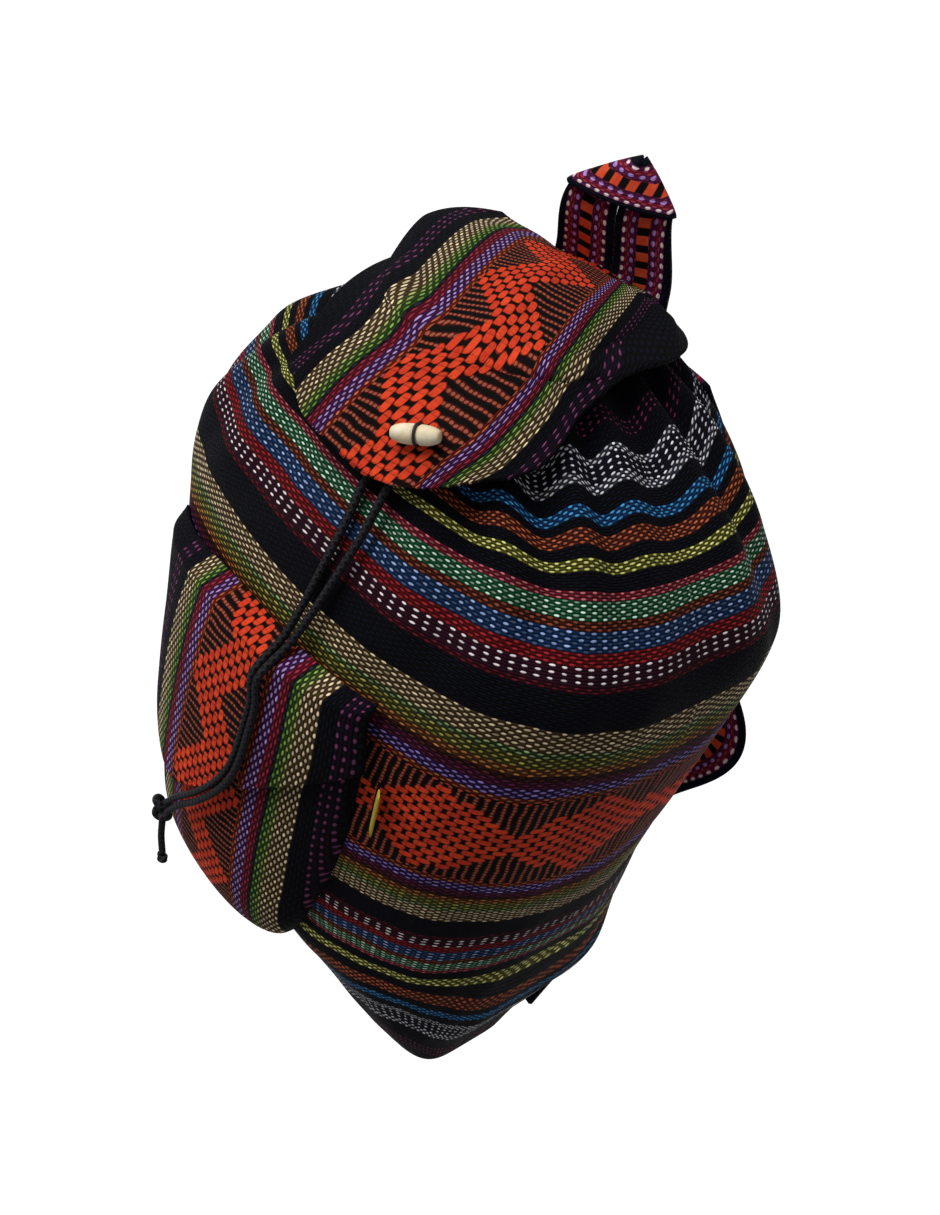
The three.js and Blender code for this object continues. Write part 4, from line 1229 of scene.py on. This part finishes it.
# Draw cords: two round braided black cords that leave the mouth under the flap, hang down over the pocket's
# flap and end in one knot with a short tail. In the table x and z place the middle of the pair, and lift is
# its distance off the cloth.
CORD_DIAMETER_SEEN = 0.0032
CORD_SPACING = 0.0038
CORD_SPREAD = 0.0085
KNOT_CORD_DIAMETER = 0.0035
KNOT_SIZE = 0.015
TAIL_LENGTH = 0.019
TAIL_KNOT_DIAMETER = 0.007
TAIL_KNOT_CORD_DIAMETER = 0.0026
CORD_LINE = table("x z lift", [
    (0.026, 0.343, 0.0004),
    (0.027, 0.334, 0.0007),
    (0.028, 0.324, 0.0007),
    (0.029, 0.313, 0.0008),
    (0.0305, 0.301, 0.0008),
    (0.031, 0.288, 0.0008),
    (0.0305, 0.275, 0.001),
    (0.0295, 0.263, 0.0032),
    (0.0285, 0.252, 0.007),
    (0.0295, 0.24, 0.0024),
    (0.031, 0.227, 0.0008),
    (0.0315, 0.213, 0.0008),
    (0.031, 0.199, 0.0008),
    (0.0285, 0.186, 0.0008),
    (0.0225, 0.173, 0.0008),
    (0.013, 0.159, 0.0008),
    (0.002, 0.146, 0.0008),
    (-0.007, 0.133, 0.0008),
])


def front_of(x, height):
    v = (POCKET_TOP + POCKET_FLAP_RISE - height) / POCKET_FLAP_LENGTH
    if v < 0:
        return float(body_front(x, height))
    u = 0.5 + math.asin(x / POCKET_WIDTH * 2) / math.pi
    return float(pocket_flap_surface(np.array(min(v, 0.9)), np.array(u))[1])


cord_middle = np.array([
    (row["x"], front_of(row["x"], row["z"]) - CORD_DIAMETER / 2 - row["lift"], row["z"]) for row in CORD_LINE
])
cord_along = np.gradient(cord_middle, axis=0)
cord_along[:, 1] = 0
cord_along = unit(cord_along)
cord_beside = np.stack([-cord_along[:, 2], np.zeros(len(cord_along)), cord_along[:, 0]], -1)


def cord_material():
    material, along, across = start_material("black_cord")
    left = (along / 0.0032 + across / 0.0042).maths("FRACT") - 0.5
    right = (along / 0.0032 - across / 0.0042).maths("FRACT") - 0.5
    ridge = (1 - (left * 2).maths("ABSOLUTE")).maths("MAXIMUM", 1 - (right * 2).maths("ABSOLUTE"))
    # Painted sheen and shade: the braid's ridges are coloured lighter and its grooves darker.
    colour = ridge.step(0.3, 0.9).mix((0.004, 0.004, 0.006), (0.018, 0.017, 0.02))
    return finish_material(material, colour, 0.7, ridge, 0.0005)


black_cord = cord_material()


def trefoil(centre, scale, count):
    t = 2 * np.pi * np.arange(count) / count
    x, z = np.sin(t) + 2 * np.sin(2 * t), np.cos(t) - 2 * np.cos(2 * t)
    return centre + np.stack([x, -np.sin(3 * t) * 1.05, z], -1) * scale


cord_run = unit(cord_middle[-1] - cord_middle[-2])
knot_centre = cord_middle[-1] + cord_run * (KNOT_SIZE / 2 + GAP)
knot_scale = (KNOT_SIZE - KNOT_CORD_DIAMETER) / 6
knot = tube("knot", trefoil(knot_centre, knot_scale, 160), KNOT_CORD_DIAMETER, 16, closed=True)
tail_start = knot_centre + np.array([0.0005, 0, -KNOT_SIZE / 2 - GAP])
tail_end = tail_start + np.array([0.003, -0.0005, -TAIL_LENGTH])
tail_middle = (tail_start + tail_end) / 2 + np.array([-0.001, 0, 0])
tail = tube("tail", smooth_line([tail_start, tail_middle, tail_end], 30)[0], CORD_DIAMETER_SEEN, 16)
tail_knot_centre = tail_end + np.array([0.0003, 0, -TAIL_KNOT_DIAMETER * 0.4 - GAP])
tail_knot_line = trefoil(tail_knot_centre, TAIL_KNOT_DIAMETER * 0.105, 90)
tail_knot = tube("tail_end_knot", tail_knot_line, TAIL_KNOT_CORD_DIAMETER, 12, closed=True)
knot_pieces = [(knot, "cord_knot"), (tail, "cord_tail"), (tail_knot, "tail_knot")]
for piece, node in knot_pieces:
    dress(piece, node, black_cord)
for side, word, pieces in ((1, "left", [piece for piece, _ in knot_pieces]), (-1, "right", [knot])):
    apart = CORD_SPACING + CORD_SPREAD * smooth_step(cord_middle[:, 2:], 0.235, 0.33)
    route = smooth_line(cord_middle + cord_beside * side * apart / 2, 260)[0]
    cord = tube(f"draw_cord_{word}", route, CORD_DIAMETER_SEEN, 16)
    dress(cord, f"cord_{word}", black_cord)
    tuple(route[0] + BASE)
    [tuple(p + BASE) for p in route]

# Side tag: a short ribbon, yellow with a navy edge and blank on both faces. It is folded and its ends are
# held in the seam at the pocket's right side; here it is drawn as one flat strip standing out from beside
# that seam.
TAG_START = 0.0785
TAG_REACH = 0.0065
TAG_LENGTH = 0.024
TAG_THICKNESS = 0.0012
TAG_HEIGHT = 0.2


def tag_row(x, off):
    y = float(body_front(x, TAG_HEIGHT)) - TAG_THICKNESS - off
    return {"x": x, "y": y, "z": TAG_HEIGHT, "turn": 0}


tag_rows = [
    tag_row(TAG_START, 0.0004),
    tag_row(TAG_START + TAG_REACH / 2, 0.0044),
    tag_row(TAG_START + TAG_REACH, 0.0085),
]
side_tag, _ = band(
    "ribbon_tag", tag_rows, np.zeros(3), np.ones(3), TAG_LENGTH, TAG_THICKNESS, 24, dip=math.radians(90)
)
tag_material, tag_along, tag_across = start_material("tag_ribbon")
tag_rib = ((tag_across / 0.0006).maths("FRACT") - 0.5).maths("ABSOLUTE") * 2
tag_colour = (tag_along > TAG_REACH * 0.6).mix(NAVY, (0.42, 0.33, 0.04))
dress(side_tag, "side_tag", finish_material(tag_material, tag_colour, 0.6, tag_rib, 0.0001))
